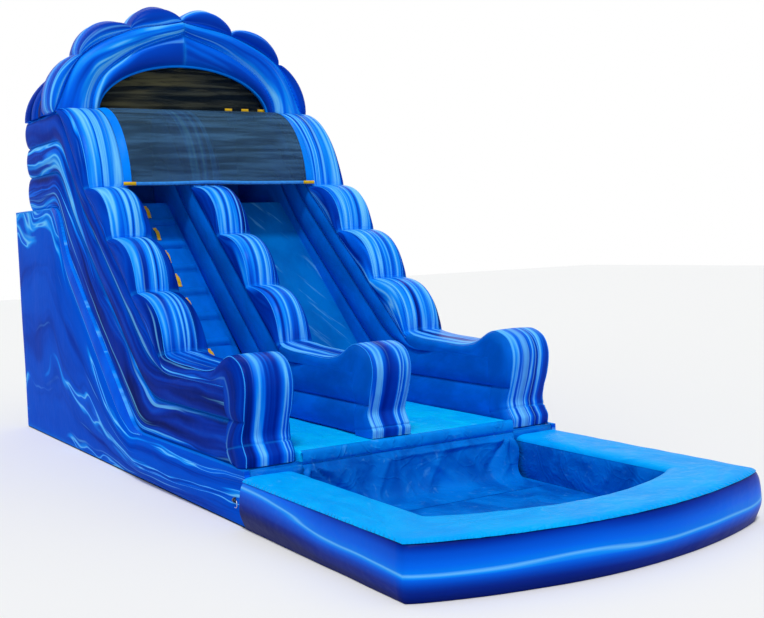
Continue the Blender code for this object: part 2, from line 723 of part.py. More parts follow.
def build_crown():
    """Front of the canopy: two halves that meet in the middle, scalloped along the top."""
    count = CROWN_STEPS
    loops = []
    for step in range(count + 1):
        share = step / count
        edge = crown_edge(share)
        x, z = arch_point(pi / 2 * (1 - share))
        inner = Vector((min(x, -CLEARANCE / 2), z))
        if step == 0:
            edge = Vector((-CLEARANCE / 2, edge[1]))
            inner = Vector((-CLEARANCE / 2, inner[1]))
        loop = []
        for across_share, swell_share in CROWN_SECTION_SHARES:
            spot = inner.lerp(edge, across_share)
            loop.append(Vector((spot[0], CROWN_FRONT - CROWN_SWELL * swell_share, spot[1])))
        loop.append(Vector((edge[0], CROWN_FRONT + CROWN_DEPTH, edge[1])))
        loop.append(Vector((inner[0], CROWN_FRONT + CROWN_DEPTH, inner[1])))
        loops.append(loop)
    place("crown_left", loft("crown_left", loops), MARBLE)
    mirrored = [[Vector((-point[0], point[1], point[2])) for point in loop] for loop in loops]
    place("crown_right", loft("crown_right", mirrored), MARBLE)


def build_hoops():
    """Arched chambers behind the crown that roof the platform."""
    count = HOOP_STEPS
    loops = []
    for step in range(count + 1):
        angle = pi * step / count
        x, z = arch_point(angle)
        outer = Vector((-HALF_WIDTH * cos(angle), ARCH_SPRING + (HOOP_TOP - ARCH_SPRING) * sin(angle)))
        inner = Vector((x, z))
        thin = HOOP_SWELL / (outer - inner).length
        half = HOOP_DEPTH / 2 - CLEARANCE / 2
        loop = []
        flat = HOOP_FLAT_SHARE
        for depth_share, across_share in ((-1, thin), (-flat, 0), (flat, 0), (1, thin),
                                          (1, 1 - thin), (flat, 1), (-flat, 1), (-1, 1 - thin)):
            spot = inner.lerp(outer, across_share)
            loop.append(Vector((spot[0], half * depth_share, spot[1])))
        loops.append(loop)
    mesh = loft("canopy_hoop", loops)
    for index in range(HOOP_COUNT):
        y = CROWN_FRONT + CROWN_DEPTH + CLEARANCE + HOOP_DEPTH * (index + 0.5)
        place("canopy_hoop_%d" % (index + 1), mesh, MARBLE, (0, y, 0))


def build_nets():
    """Safety nets: over the shoulders, in the front arch and in the back arch."""
    start = (CAP_START, TOWER_TOP + CAP_START_THICKNESS)
    path = quarter(start, lobe_creases()[0], SHOULDER_POWER, SHOULDER_STEPS)
    path[-1] = mix(path[-2], path[-1], NET_END_SHARE)
    lifted = [(y - CLEARANCE, z + CLEARANCE) for y, z in path]
    over = [(y - NET_THICKNESS, z + NET_THICKNESS) for y, z in lifted]
    half = NET_HALF_WIDTH
    arch_front = CROWN_FRONT + NET_INSET_FROM_FRONT
    lifted.insert(0, (arch_front - CLEARANCE, lifted[0][1]))
    over.insert(0, (arch_front - CLEARANCE, over[0][1]))
    place("net_shoulder", across("net_shoulder", lifted + over[::-1], -half, half), NET_BLACK)
    hem_y, hem_z = over[-1]
    tape_front = hem_y - CLEARANCE - TAPE_THICKNESS
    hem = HEM_HALF_WIDTH
    tape = box("net_hem_tape", (-hem, tape_front, hem_z), (hem, hem_y - CLEARANCE, hem_z + TAPE_WIDTH))
    place("net_hem_tape", tape, TAPE_BLUE)
    tag = box("net_tag", (-TAG_LENGTH / 2, -TAPE_THICKNESS, 0), (TAG_LENGTH / 2, 0, TAPE_WIDTH))
    for side, sign in (("left", -1), ("right", 1)):
        spot = (sign * (hem - TAG_LENGTH / 2), tape_front - CLEARANCE, hem_z)
        place("net_tag_" + side, tag, YELLOW, spot)
    tie_z = over[0][1] + CLEARANCE
    tie = box("net_tie", (-TIE_LENGTH / 2, -TAPE_THICKNESS, 0), (TIE_LENGTH / 2, 0, TAPE_WIDTH))
    for index in range(TIE_COUNT):
        x = TIE_FIRST + TIE_PITCH * index
        place("net_tie_%d" % (index + 1), tie, YELLOW, (x, arch_front - CLEARANCE, tie_z))
    arch_back = CROWN_FRONT + CROWN_DEPTH + HOOP_DEPTH * (HOOP_COUNT - 0.5)
    for name, front, steps in (("net_arch_front", arch_front, 2 * CROWN_STEPS),
                               ("net_arch_back", arch_back, HOOP_STEPS)):
        outline = [arch_point(pi * step / steps, -CLEARANCE * 2) for step in range(steps + 1)]
        if name == "net_arch_front":
            share = (CAP_START_THICKNESS + CLEARANCE) / (outline[1][1] - outline[0][1])
            outline[0] = mix(outline[0], outline[1], share)
            outline[-1] = mix(outline[-1], outline[-2], share)
        loops = [[Vector((x, y, z)) for x, z in outline] for y in (front, front + NET_THICKNESS)]
        place(name, loft(name, loops), NET_BLACK)


def pool_path(inset, steps):
    """Plan line of the pool rim, inset from its outer edge, from the left seam round to the right."""
    side = HALF_WIDTH - inset
    line = [(-side, 0), (-side, -POOL_LENGTH / 2), (-side, -POOL_LENGTH + inset)]
    for step in range(1, steps):
        share = step / steps
        bow = POOL_BOW * sin(pi * share) ** POOL_BOW_POWER
        line.append((-side + 2 * side * share, -POOL_LENGTH - bow + inset))
    line += [(side, -POOL_LENGTH + inset), (side, -POOL_LENGTH / 2), (side, 0)]
    return line


def lifted_line(line, distance):
    """Line of (across, up) points moved square to itself, to the left of its direction."""
    moved = []
    for index, point in enumerate(line):
        here = Vector(point)
        before = (here - Vector(line[index - 1])).normalized() if index else None
        after = (Vector(line[index + 1]) - here).normalized() if index < len(line) - 1 else None
        before = before or after
        after = after or before
        normal = (before + after).normalized()
        normal = Vector((-normal[1], normal[0]))
        square = Vector((-after[1], after[0]))
        moved.append(here + normal * (distance / max(normal.dot(square), LEAST_MITRE)))
    return moved


def rim_sections(kind):
    """Cross-sections round the pool rim, of the rim itself or of the cover that lies over it."""
    loops = []
    for first, second in zip(pool_path(0, RIM_STEPS), pool_path(RIM_WIDTH, RIM_STEPS)):
        outer, inner = Vector(first), Vector(second)
        wide = (outer - inner).length
        away = (outer - inner).normalized()
        rim = [(wide * share + RIM_SWELL * swell, CLEARANCE + (RIM_HEIGHT - CLEARANCE) * up)
               for share, swell, up in RIM_SECTION_SHARES]
        section = rim
        if kind == "cover":
            top = rim[2:6]
            under = lifted_line(top, CLEARANCE)
            section = under + lifted_line(under, COVER_THICKNESS)[::-1]
        loops.append([Vector((*(inner + away * across_rim), up)) for across_rim, up in section])
    return loops


def build_pool():
    """Rim, cover, floor and apron of the splash pool, which pulls away from the slide as one."""
    frame = bpy.data.objects.new("pool_seam", None)
    bpy.context.collection.objects.link(frame)
    frame.parent = ORIGIN
    frame.location = (0, -CLEARANCE, 0)
    loops = rim_sections("rim")
    corners = (0, 2, len(loops) - 3, len(loops) - 1)
    names = ("pool_rim_left", "pool_rim_front", "pool_rim_right")
    for name, first, last in zip(names, corners, corners[1:]):
        part = [[Vector(point) for point in loop] for loop in loops[first:last + 1]]
        if name != "pool_rim_front":
            end = -1 if name == "pool_rim_left" else 0
            shift = Vector((0, 2 * CLEARANCE, 0))
            part[end] = [point + shift for point in part[end]]
        place(name, loft(name, part), MARBLE, parent=frame)
    place("pool_cover", loft("pool_cover", rim_sections("cover")), AZURE, parent=frame)
    plan = pool_path(RIM_WIDTH + COVER_THICKNESS, RIM_STEPS)
    loops = [[Vector((x, y, z)) for x, y in plan] for z in (CLEARANCE, POOL_FLOOR_THICKNESS)]
    place("pool_floor", loft("pool_floor", loops), AZURE, parent=frame)
    build_apron()


def build_apron():
    """Sheet that hangs from the landing's front edge and runs out over the pool floor."""
    half = HALF_WIDTH - RIM_WIDTH - RIM_SWELL
    floor = POOL_FLOOR_THICKNESS + CLEARANCE
    step = MAT_FRONT - CLEARANCE
    deck = LANDING_HEIGHT + CLEARANCE
    line = [(step, MAT_TOP), (step, deck), (-CLEARANCE, deck)]
    for slack_share, height_share in APRON_SHARES:
        line.append((-APRON_SLACK * slack_share, LANDING_HEIGHT * height_share))
    line += [(-APRON_SLACK * 3, floor + APRON_SLACK), (-APRON_REACH, floor)]
    over = [tuple(point) for point in lifted_line(line, -APRON_THICKNESS)]
    place("landing_apron", across("landing_apron", line + over[::-1], -half, half), AZURE)


def pipe(name, radius, wall, length, count):
    """Open tube along Y that starts at Y = 0."""
    loops = []
    for y, reach in ((0, radius), (length, radius), (length, radius - wall), (0, radius - wall)):
        loops.append([Vector((reach * cos(2 * pi * step / count), y, reach * sin(2 * pi * step / count)))
                      for step in range(count)])
    return loft(name, loops, closed=True)


def ring(name, radius, wire):
    """Round wire ring in the XZ plane that hangs from its top, on the X axis."""
    loops = []
    for step in range(RING_STEPS):
        turn = 2 * pi * step / RING_STEPS
        centre = Vector((radius * sin(turn), 0, radius * cos(turn) - radius))
        out = Vector((sin(turn), 0, cos(turn)))
        loop = []
        for index in range(WIRE_STEPS):
            angle = 2 * pi * index / WIRE_STEPS
            loop.append(centre + out * (wire * cos(angle)) + Vector((0, wire * sin(angle), 0)))
        loops.append(loop)
    return loft(name, loops, closed=True)


def rear_swell(height):
    """How far the rear panel swells out at one height, and its lean there."""
    low = SHEET_THICKNESS + CLEARANCE
    row = (PLATFORM_HEIGHT - CLEARANCE / 2 - low) / PANEL_ROWS
    below = int((height - low) / row)
    here, above = [REAR_BULGE * sin(pi * index / PANEL_ROWS) for index in (below, below + 1)]
    return here + (above - here) * ((height - low) / row - below), (above - here) / row


def build_fittings():
    """Inflation sleeve and deflation flap on the rear, anchor loop and ring on the left side."""
    sleeve = pipe("inflation_sleeve", SLEEVE_RADIUS, SLEEVE_WALL, SLEEVE_LENGTH, SLEEVE_STEPS)
    seat = BASE_LENGTH + rear_swell(SLEEVE_HEIGHT + SLEEVE_RADIUS)[0] + CLEARANCE
    place("inflation_sleeve", sleeve, MARBLE, (SLEEVE_X, seat, SLEEVE_HEIGHT))
    top = FLAP_BOTTOM + FLAP_HEIGHT
    swell, lean = rear_swell(top)
    flap = box("deflation_flap", (-FLAP_WIDTH / 2, CLEARANCE * 2, -FLAP_HEIGHT),
               (FLAP_WIDTH / 2, CLEARANCE * 2 + FLAP_THICKNESS, 0))
    place("deflation_flap", flap, MARBLE, (FLAP_X, BASE_LENGTH + swell, top), (-atan(lean), 0, 0))
    loop = strap_loop(LOOP_LENGTH, LOOP_WIDTH, LOOP_RISE, HANDLE_FOOT, WEBBING)
    seat = (-HALF_WIDTH - CLEARANCE, LOOP_Y, LOOP_HEIGHT)
    place("anchor_loop", loop, GROUND_VINYL, seat, (pi / 2, 0, -pi / 2))
    hanger = ring("anchor_ring", RING_RADIUS, RING_WIRE)
    place("anchor_ring", hanger, STEEL, (-HALF_WIDTH - RING_OFFSET, LOOP_Y, LOOP_HEIGHT), (0, 0, pi / 2))


build_base()
build_beds()
build_webs()
build_walls()
build_back_wall()
build_crown()
build_hoops()
build_nets()
build_climb_handles()
build_pool()
build_fittings()

# The rear end is the mouth of the sleeve and the front end is the middle of the pool's bow
rear_end = bpy.data.objects["inflation_sleeve"].location.y + SLEEVE_LENGTH
ORIGIN.location.y = (POOL_FRONT + CLEARANCE - rear_end) / 2
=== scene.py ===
"""Looks of the inflatable water slide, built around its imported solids.

Each soft piece is skinned from the same side lines as its solid, with swelling panels, pinched
seams and wrinkles. Every skin carries the attribute cut: metres along and across the vinyl it was
cut from, and a shift that gives each piece its own run of the marbling. The attribute seam is 1 on
a sewn seam and fades away from it.
"""
import random
from math import cos, pi, radians, sin

import bmesh
import bpy
import numpy as np
from mathutils import Matrix, Vector


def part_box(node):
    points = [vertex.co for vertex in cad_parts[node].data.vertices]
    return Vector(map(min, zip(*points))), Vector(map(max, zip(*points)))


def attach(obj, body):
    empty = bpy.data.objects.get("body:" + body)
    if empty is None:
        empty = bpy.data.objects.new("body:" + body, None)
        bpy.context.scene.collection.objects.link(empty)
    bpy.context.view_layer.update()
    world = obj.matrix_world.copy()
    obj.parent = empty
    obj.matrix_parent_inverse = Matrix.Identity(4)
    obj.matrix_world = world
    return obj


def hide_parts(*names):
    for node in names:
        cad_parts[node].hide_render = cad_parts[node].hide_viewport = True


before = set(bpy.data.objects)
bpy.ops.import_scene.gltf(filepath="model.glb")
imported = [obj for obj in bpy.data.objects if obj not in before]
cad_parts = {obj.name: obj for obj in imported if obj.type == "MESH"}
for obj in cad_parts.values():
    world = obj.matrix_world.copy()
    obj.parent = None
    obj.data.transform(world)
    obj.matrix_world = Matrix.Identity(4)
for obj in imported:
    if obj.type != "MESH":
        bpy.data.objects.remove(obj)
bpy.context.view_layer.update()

# The seam between slide and pool is Y = 0 while the pieces are drawn
SEAM_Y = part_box("ground_sheet")[0][1]

# Sizes of the solids, in metres, and shares of them. Pairs are (y, z) seen from the side
CLEARANCE = 0.0003
HALF_WIDTH = 1.7325
BASE_LENGTH = 7.15
PLATFORM_HEIGHT = 2.965
LANDING_HEIGHT = 0.50
PANEL_THICKNESS = 0.05
SIDE_BULGE = 0.11
REAR_BULGE = 0.12
SHEET_THICKNESS = 0.012
TOWER_REAR = 6.55
TOWER_TOP = 4.12
PLATFORM_EDGE = 5.16
SHOULDER_EDGE = 4.93
KNEE = (4.86, 2.34)
CAP_KNEE = (4.10, 3.10)
SLOPE_FOOT = 2.72
CAP_FOOT = 1.80
LANDING_WALL_TOP = 1.20
PILLAR_DEPTH = 0.36
WALL_WIDTH = 0.558
DIVIDER_WIDTH = 0.446
DIVIDER_SHIFT = -0.1935
DIVIDER_REAR = 5.45
SEAM_INSET = 0.05
BEND_REACH = 0.22
BEND_SHARE = 0.42
NEAR_FOOT_SHARE = 0.14
CAP_START_THICKNESS = 0.04
CREASE_THICKNESS = 0.06
LOBE_COUNT = 3
LANDING_CAP_THICKNESS = 0.12
PILLAR_HEAD_HEIGHT = 0.275
MAT_TOP = 0.60
MAT_FRONT = 0.03
BED_TOP_EDGE = 4.86
BED_FOOT = 2.30
STEP_COUNT = 7
STEP_PITCH = 0.41
STEP_HEIGHT = 0.05
STEP_LENGTH = 0.12
FIRST_STEP_ALONG = 1.08
BACK_WALL_DEPTH = 0.38
CROWN_FRONT = 5.135
CROWN_DEPTH = 0.40
CROWN_HEIGHT = 1.21
HOOP_COUNT = 3
HOOP_DEPTH = 0.325
HOOP_TOP = 5.12
ARCH_HALF_WIDTH = 1.17
ARCH_RISE = 0.62
NET_THICKNESS = 0.008
NET_INSET_FROM_FRONT = 0.05
TAPE_WIDTH = 0.04
TAPE_THICKNESS = 0.008
POOL_LENGTH = 2.50
POOL_BOW = 0.38
RIM_WIDTH = 0.50
RIM_HEIGHT = 0.437
RIM_SWELL = 0.06
POOL_FLOOR_THICKNESS = 0.02
APRON_REACH = 0.45
OUTER_SEAM_SHARES = ((0, 0.37, 0.70, 1), (0, 0.37, 0.70, 1), (0, 0.50, 0.79, 1),
                     (0, 0.50, 0.79, 1), (0, 0.57, 0.985, 1), (0, 0.57, 0.985, 1))
LEVELS = ("lower", "middle", "upper")
DIVIDER_SEAM_SHARES = ((0, 0.50, 1), (0, 0.50, 1), (0.36, 0.68, 1),
                       (0.36, 0.68, 1), (0.15, 0.57, 1), (0.15, 0.57, 1))
LANDING_CAP_SHARES = ((0.82, 1.22), (0.60, 1.10), (0.35, 1.0), (0.16, 1.5))
PILLAR_SHARES = ((0.95, 1), (0.55, 0.99), (0.20, 0.93), (0.02, 0.82), (0, 0.70), (0.10, 0.55),
                 (0.32, 0.38), (0.45, 0.26), (0.30, 0.17), (0.12, 0.10), (0.16, 0.004))
CROWN_VALLEYS = ((0, 1), (0.40, 0.90), (0.79, 0.587), (1, 0))
CROWN_LOBES = (0.165, 0.165, 0.12)

# Places that follow from the sizes, and two given as numbers
LANE_EDGE = HALF_WIDTH - WALL_WIDTH
WALL_CENTRE = HALF_WIDTH - WALL_WIDTH / 2
ARCH_SPRING = TOWER_TOP + CLEARANCE
CROWN_FACE = CROWN_FRONT - 0.012
CAP_START = 5.0347      # where the outer caps begin on the shoulder
DECK_FRONT = PLATFORM_EDGE + BEND_REACH
INNER_HALF = HALF_WIDTH - PANEL_THICKNESS - CLEARANCE
SIDE_CREASE = LANDING_HEIGHT + 0.57 * (LANDING_WALL_TOP - LANDING_HEIGHT)
PILLAR_SEAM = 0.70      # height of the seam across a pillar's front
NET_HALF_WIDTH = ARCH_HALF_WIDTH - NET_THICKNESS

# Shapes of the skins, in metres where they are lengths
CHAMBER_POWER = 0.55    # how bluntly a chamber swells between its seams
CHAMBER_FADE = 0.10     # how far a seam's colour, painted shade on plain vinyl, reaches over a chamber, as a share of its height
CHAMBER_END = 0.16      # length over which a chamber's end rounds in, and by how much
CHAMBER_HUG = 0.06
SEAM_FADE = 0.02        # the same for the seams of sheets and panels
WELT_RADIUS = 0.0045
BED_FLANGE = 0.060      # how far a lane bed runs on under the chambers beside it
CORNER_ROUND = 0.20     # where the rear panel starts to round in
CORNER_FOLD = 1.10      # where the apron's corner pleats meet, out from the middle
NET_LIFT = 0.006
NET_SKIN = 0.0015
NET_OUTWARD = (0, -0.6, 0.8)    # direction square to the shoulder net
BINDING_WIDTH = 0.09
HANDLE_REACH = 0.11     # half a handle's length, and half of what stands clear of the bed
HANDLE_GRIP = 0.075
HANDLE_RISE = 0.022
HANDLE_SIZE = (0.045, 0.006)    # width and thickness of its webbing
# A cap's section: columns up its side face, how far the face turns in above, columns up to the crest
SIDE_COLUMNS = 20
SIDE_TURN = radians(75)
RIBBON_COLUMNS = 16
RIBBON_POWER = 2.3
# Half width of a cap's ribbon, as a share of the cap's: to the left and to the right over the lobes, then
# over the pillar. The keys are the wall's marbled side, 0 for the divider
LOBE_EDGES = {-1: (0.75, 0.50, 0.81), 0: (0.84, 0.66, 0.93), 1: (0.75, 0.75, 0.81)}
# Webbing's section, in widths and thicknesses
STRAP_SECTION = ((-0.5, 0.18), (-0.46, 0.5), (0.46, 0.5), (0.5, 0.18),
                 (0.5, -0.18), (0.46, -0.5), (-0.46, -0.5), (-0.5, -0.18))
# The pool rim's section: share of its width, swell and share of its height, from inside over the top,
# and the columns of it that the cover lies on
RIM_SECTION = ((0, 0, 0), (0, -0.30, 0.30), (0, -0.35, 0.52), (0, -0.2, 0.85), (0.10, 0, 0.985), (0.5, 0, 1),
               (0.90, 0, 0.995), (0.985, 0.25, 0.95), (1, 0.70, 0.80), (1, 0.97, 0.52), (1, 0.92, 0.30),
               (1, 0.12, 0))
COVER_COLUMNS = slice(16, 37)

# Camera: turn to the right, up and clockwise in degrees, lens in millimetres and place in metres
CAMERA_TURN = (31.680, -3.751, -2.146)
CAMERA_LENS = 53.44
CAMERA_SPOT = (-5.7245, -11.1569, 2.478)

# Colours of the finishes, linear
# Painted shadow under the pool cover
UNDER_COVER_SHADOW = (0.0, 0.008, 0.14)
NAVY = (0.0, 0.008, 0.13)
DEEP = (0.0, 0.026, 0.34)
ROYAL = (0.0, 0.058, 0.52)
BRIGHT = (0.0, 0.125, 0.80)
SKY = (0.005, 0.28, 0.95)
PALE = (0.16, 0.58, 1.0)
COBALT = (0.0, 0.042, 0.44)
YELLOW = (1.0, 0.62, 0.0)

# How strongly vinyl shines where nothing else is said
VINYL_IOR = 1.11


class Value:
    """A number or colour that varies over a surface; arithmetic on it adds Math nodes."""

    def __init__(self, graph, socket):
        self.graph = graph
        self.socket = socket

    def math(self, operation, *others):
        """One Math node on this value and others."""
        sockets = dict(enumerate((self, *others)))
        return self.graph.node("ShaderNodeMath", {"operation": operation}, sockets)

    def __add__(self, other):
        return self.math("ADD", other)

    def __mul__(self, other):
        return self.math("MULTIPLY", other)

    def __sub__(self, other):
        return self.math("SUBTRACT", other)

    def __rsub__(self, other):
        return self.graph.node("ShaderNodeMath", {"operation": "SUBTRACT"}, {0: other, 1: self})

    def __truediv__(self, other):
        return self.math("DIVIDE", other)

    def __pow__(self, other):
        return self.math("POWER", other)

    __radd__ = __add__
    __rmul__ = __mul__


class Graph:
    """A tree of shader nodes under construction."""

    def __init__(self, tree):
        self.tree = tree

    def node(self, kind, settings=None, sockets=None, out=0):
        """Add a node, set it up, fill or link its sockets and give back one of its outputs.

        Of a ramp's settings, stops is a row of (place, colour).
        """
        made = self.tree.nodes.new(kind)
        for key, value in (settings or {}).items():
            if key != "stops":
                setattr(made, key, value)
                continue
            elements = made.color_ramp.elements
            while len(elements) < len(value):
                elements.new(0.5)
            for element, (place, colour) in zip(elements, value):
                element.position = place
                element.color = (*colour, 1)
        for key, value in (sockets or {}).items():
            self.fill(made.inputs[key], value)
        return Value(self, made.outputs[out]) if made.outputs else None

    def fill(self, socket, value):
        """Link a Value to a socket, or set a constant on it."""
        if isinstance(value, Value):
            self.tree.links.new(value.socket, socket)
        elif isinstance(value, tuple) and socket.type == "RGBA":
            socket.default_value = (*value, 1)
        else:
            socket.default_value = value


class Finish(Graph):
    """A material under construction, with a Principled shader at its end."""

    def __init__(self, name, roughness, **fixed):
        self.material = bpy.data.materials.new(name)
        self.material.use_nodes = True
        super().__init__(self.material.node_tree)
        self.shader = self.tree.nodes["Principled BSDF"]
        for socket, value in {"IOR": VINYL_IOR, "Roughness": roughness, **fixed}.items():
            self.shader.inputs[socket.replace("_", " ")].default_value = value

    def set(self, name, value):
        """Feed one of the shader's own sockets."""
        self.fill(self.shader.inputs[name], value)

    def cut(self):
        """Metres along, metres across and the piece's own shift."""
        vector = self.node("ShaderNodeAttribute", {"attribute_name": "cut"}, out="Vector")
        return [self.node("ShaderNodeSeparateXYZ", None, {0: vector}, out=axis) for axis in range(3)]

    def seam(self):
        """1 on a seam, falling to 0 away from it."""
        return self.node("ShaderNodeAttribute", {"attribute_name": "seam"}, out="Fac")

    def place(self, axis):
        """A coordinate on the object: 0 across it, 1 along it, 2 for the height."""
        spot = self.node("ShaderNodeTexCoord", out="Object")
        return self.node("ShaderNodeSeparateXYZ", None, {0: spot}, out=axis)

    def vector(self, x, y, z):
        """Three values as one vector."""
        return self.node("ShaderNodeCombineXYZ", None, {0: x, 1: y, 2: z})

    def noise(self, vector, detail=2.0, roughness=0.5, distortion=0.0):
        """Clouds about one unit of the vector across."""
        sockets = {"Vector": vector, "Scale": 1.0, "Detail": detail, "Roughness": roughness,
                   "Distortion": distortion}
        return self.node("ShaderNodeTexNoise", {"noise_dimensions": "3D"}, sockets)

    def ramp(self, factor, stops):
        """Colour from stops of (place, colour)."""
        return self.node("ShaderNodeValToRGB", {"stops": stops}, {0: factor})

    def blend(self, factor, first, second):
        """Colour between two colours."""
        settings = {"data_type": "RGBA", "clamp_factor": True}
        return self.node("ShaderNodeMix", settings, {0: factor, 6: first, 7: second}, out=2)

    def between(self, value, low, high):
        """0 below low, 1 above high and smooth between."""
        sockets = {"Value": value, "From Min": low, "From Max": high}
        return self.node("ShaderNodeMapRange", {"interpolation_type": "SMOOTHSTEP"}, sockets)

    def bump(self, height, depth):
        """Raise the surface by height times depth, in metres."""
        sockets = {"Height": height, "Distance": depth, "Strength": 1.0}
        self.set("Normal", self.node("ShaderNodeBump", None, sockets))


def creases(finish, run, over, shift):
    """Height of the small wrinkles of tight vinyl, and of the puckers beside its seams."""
    slack = finish.noise(finish.vector(run * 3.0, over * 5.0, shift), 3.0, 0.55)
    wander = finish.noise(finish.vector(run * 9.0, over * 4.0, shift), 2.0)
    pucker = (run * 150.0 + wander * 14.0).math("SINE") * (finish.seam() ** 3.0)
    return slack + pucker * 0.22


def marbled(name, along, over_scale, sway, stops, roughness, ior=VINYL_IOR, shaded_low_stops=None):
    """Vinyl printed with watery streaks along the piece, with darker colours low down as painted shade where
    shaded stops are given.
    """
    finish = Finish(name, roughness, IOR=ior)
    run, over, shift = finish.cut()
    drift = finish.noise(finish.vector(run * 0.8, over * 1.6, shift), 2.0)
    streaks = finish.vector(run * along, over * over_scale + drift * sway, shift)
    flow = finish.noise(streaks, 3.0, 0.55, 0.35)
    colour = finish.ramp(flow, stops)
    if shaded_low_stops:
        # Painted shade: below the landing walls' tops the streaks take the darker stops, as on the pillars'
        # fronts
        low = finish.between(finish.place(2), 1.60, 1.25)
        colour = finish.blend(low, colour, finish.ramp(flow, shaded_low_stops))
    thin = finish.vector(run * along * 1.4, over * over_scale * 3.2 + drift * sway * 2.0, shift)
    threads = finish.noise(thin, 2.0)
    colour = finish.blend(finish.between(threads, 0.62, 0.72) * 0.6, colour, PALE)
    colour = finish.blend((finish.seam() ** 3.0) * 0.45, colour, SKY)
    finish.set("Base Color", colour)
    finish.bump(creases(finish, run, over, shift), 0.012)
    return finish.material


def plain(name, colour, shade, roughness=0.36, streaks=0.0):
    """Vinyl of one colour, a little darker and lighter where it is stretched and worn, with painted shade
    along its seams and pale painted reflections where streaks is given.
    """
    finish = Finish(name, roughness)
    run, over, shift = finish.cut()
    cloud = finish.noise(finish.vector(run * 1.5, over * 2.5, shift), 4.0, 0.6)
    tone = finish.blend(finish.between(cloud, 0.30, 0.72), shade, colour)
    # Painted reflection: pale slanting streaks that stand in for light reflected off the wet sheet
    if streaks:
        sweep = finish.vector(run * 0.9 + over * 1.3, over * 9.0 - run * 4.5, shift)
        painted_reflection = finish.between(finish.noise(sweep, 3.0, 0.6, 0.3), 0.58, 0.72)
        tone = finish.blend(painted_reflection * streaks, tone, PALE)
    # Painted shade: the colour darkens toward shade along seams and creases
    tone = finish.blend((finish.seam() ** 3.0) * 0.30, tone, shade)
    finish.set("Base Color", tone)
    finish.bump(creases(finish, run, over, shift), 0.010)
    return finish.material


def rumpled(name, colour, shade, roughness=0.42, wrinkled=0.20):
    """Loose liner sheet with soft folds and a worn, wet sheen."""
    finish = Finish(name, roughness)
    run, over, shift = finish.cut()
    folds = finish.noise(finish.vector(run * 2.0, over * 3.2, shift), 3.0, 0.5, 0.8)
    fine = finish.noise(finish.vector(run * 11.0, over * 16.0, shift), 3.0, 0.5, 0.8)
    tone = finish.blend(finish.between(folds, 0.34, 0.66), shade, colour)
    tone = finish.blend(finish.between(fine, 0.60, 0.80) * 0.20, tone, PALE)
    pucker = (run * 120.0 + folds * 20.0).math("SINE") * finish.seam()
    finish.set("Base Color", tone)
    finish.set("Roughness", finish.between(fine, 0.2, 0.8) * 0.22 + roughness * 0.7)
    slanted = finish.vector(run * 3.6 + over * 1.4, over * 3.0 - run * 2.2, shift)
    wrinkle = finish.noise(slanted, 2.0, 0.4, 1.4)
    ridge = 1.0 - ((wrinkle - 0.5).math("ABSOLUTE") * 9.0).math("MINIMUM", 1.0)
    finish.bump(folds * 1.6 + fine * 0.25 + pucker * 0.4 + ridge * ridge * wrinkled, 0.016)
    return finish.material


def height_shaded(name, stops):
    """Vinyl coloured by height as painted light: painted shade low down, a painted shadow under the cover
    and a painted highlight streak between, which sinks a little away from the seam.
    """
    finish = Finish(name, 0.36)
    run, over, shift = finish.cut()
    wander = finish.noise(finish.vector(run * 0.50, 0.0, shift), 2.0)
    drift = finish.noise(finish.vector(run * 0.25, over * 5.0, shift), 2.0)
    level = finish.place(2) / RIM_HEIGHT + (wander - 0.5) * 0.40 + (drift - 0.5) * 0.30
    level = level - 0.30 * (1.0 - finish.between(run, 0.1, 1.6))
    finish.set("Base Color", finish.ramp(level, stops))
    finish.bump(creases(finish, run, over, shift), 0.012)
    return finish.material


def netting(name, colour, shade, solid, patch=None):
    """Fine knotless mesh, a little lighter where it bunches into long ripples.

    A patch is a colour that shows through it on one side.
    """
    finish = Finish(name, 0.75)
    run, over, shift = finish.cut()
    ripple = finish.noise(finish.vector(run * 13.0, over, shift), 3.0, 0.55, 0.6)
    holes = (run * 700.0).math("SINE") * (over * 700.0).math("SINE")
    tone = finish.blend(finish.between(ripple, 0.40, 0.70), shade, colour)
    if patch:
        cloud = finish.noise(finish.vector(run * 3.0, over * 0.9, shift), 2.0)
        spread = finish.between(cloud, 0.36, 0.56) * finish.between(finish.place(0), 0.50, -0.30)
        spread = spread * finish.between(ripple, 0.30, 0.55)
        tone = finish.blend(spread * 0.85, tone, patch)
    finish.set("Base Color", tone)
    finish.set("Alpha", finish.between(ripple, 0.25, 0.75) * 0.06 + holes * 0.03 + solid)
    finish.bump(ripple, 0.010)
    return finish.material


def webbing(name, colour, shade):
    """Woven strap: ribs across it, stitches near its ends and a little grime."""
    finish = Finish(name, 0.62, Sheen_Weight=0.3)
    run, over, shift = finish.cut()
    ribs = (run * 1600.0).math("SINE") * 0.5 + 0.5
    ends = (over * 520.0).math("SINE") * 0.5 + 0.5
    grime = finish.noise(finish.vector(run * 30.0, over * 30.0, shift), 3.0, 0.6)
    tone = finish.blend(finish.between(grime, 0.35, 0.75), colour, shade)
    finish.set("Base Color", finish.blend(ribs * ends * 0.18, tone, shade))
    finish.bump(ribs + ends * 0.5, 0.0012)
    return finish.material


def plating(name):
    """Bright zinc on steel wire, with fine scratches and duller spots."""
    finish = Finish(name, 0.3, Metallic=1.0, IOR=1.5)
    run, over, shift = finish.cut()
    spots = finish.noise(finish.vector(run * 90.0, over * 90.0, shift), 4.0, 0.6)
    dull, bright = (0.42, 0.43, 0.45), (0.75, 0.75, 0.77)
    finish.set("Base Color", finish.ramp(spots, ((0.3, dull), (0.7, bright))))
    finish.set("Roughness", spots * 0.35 + 0.12)
    finish.bump(spots, 0.0004)
    return finish.material


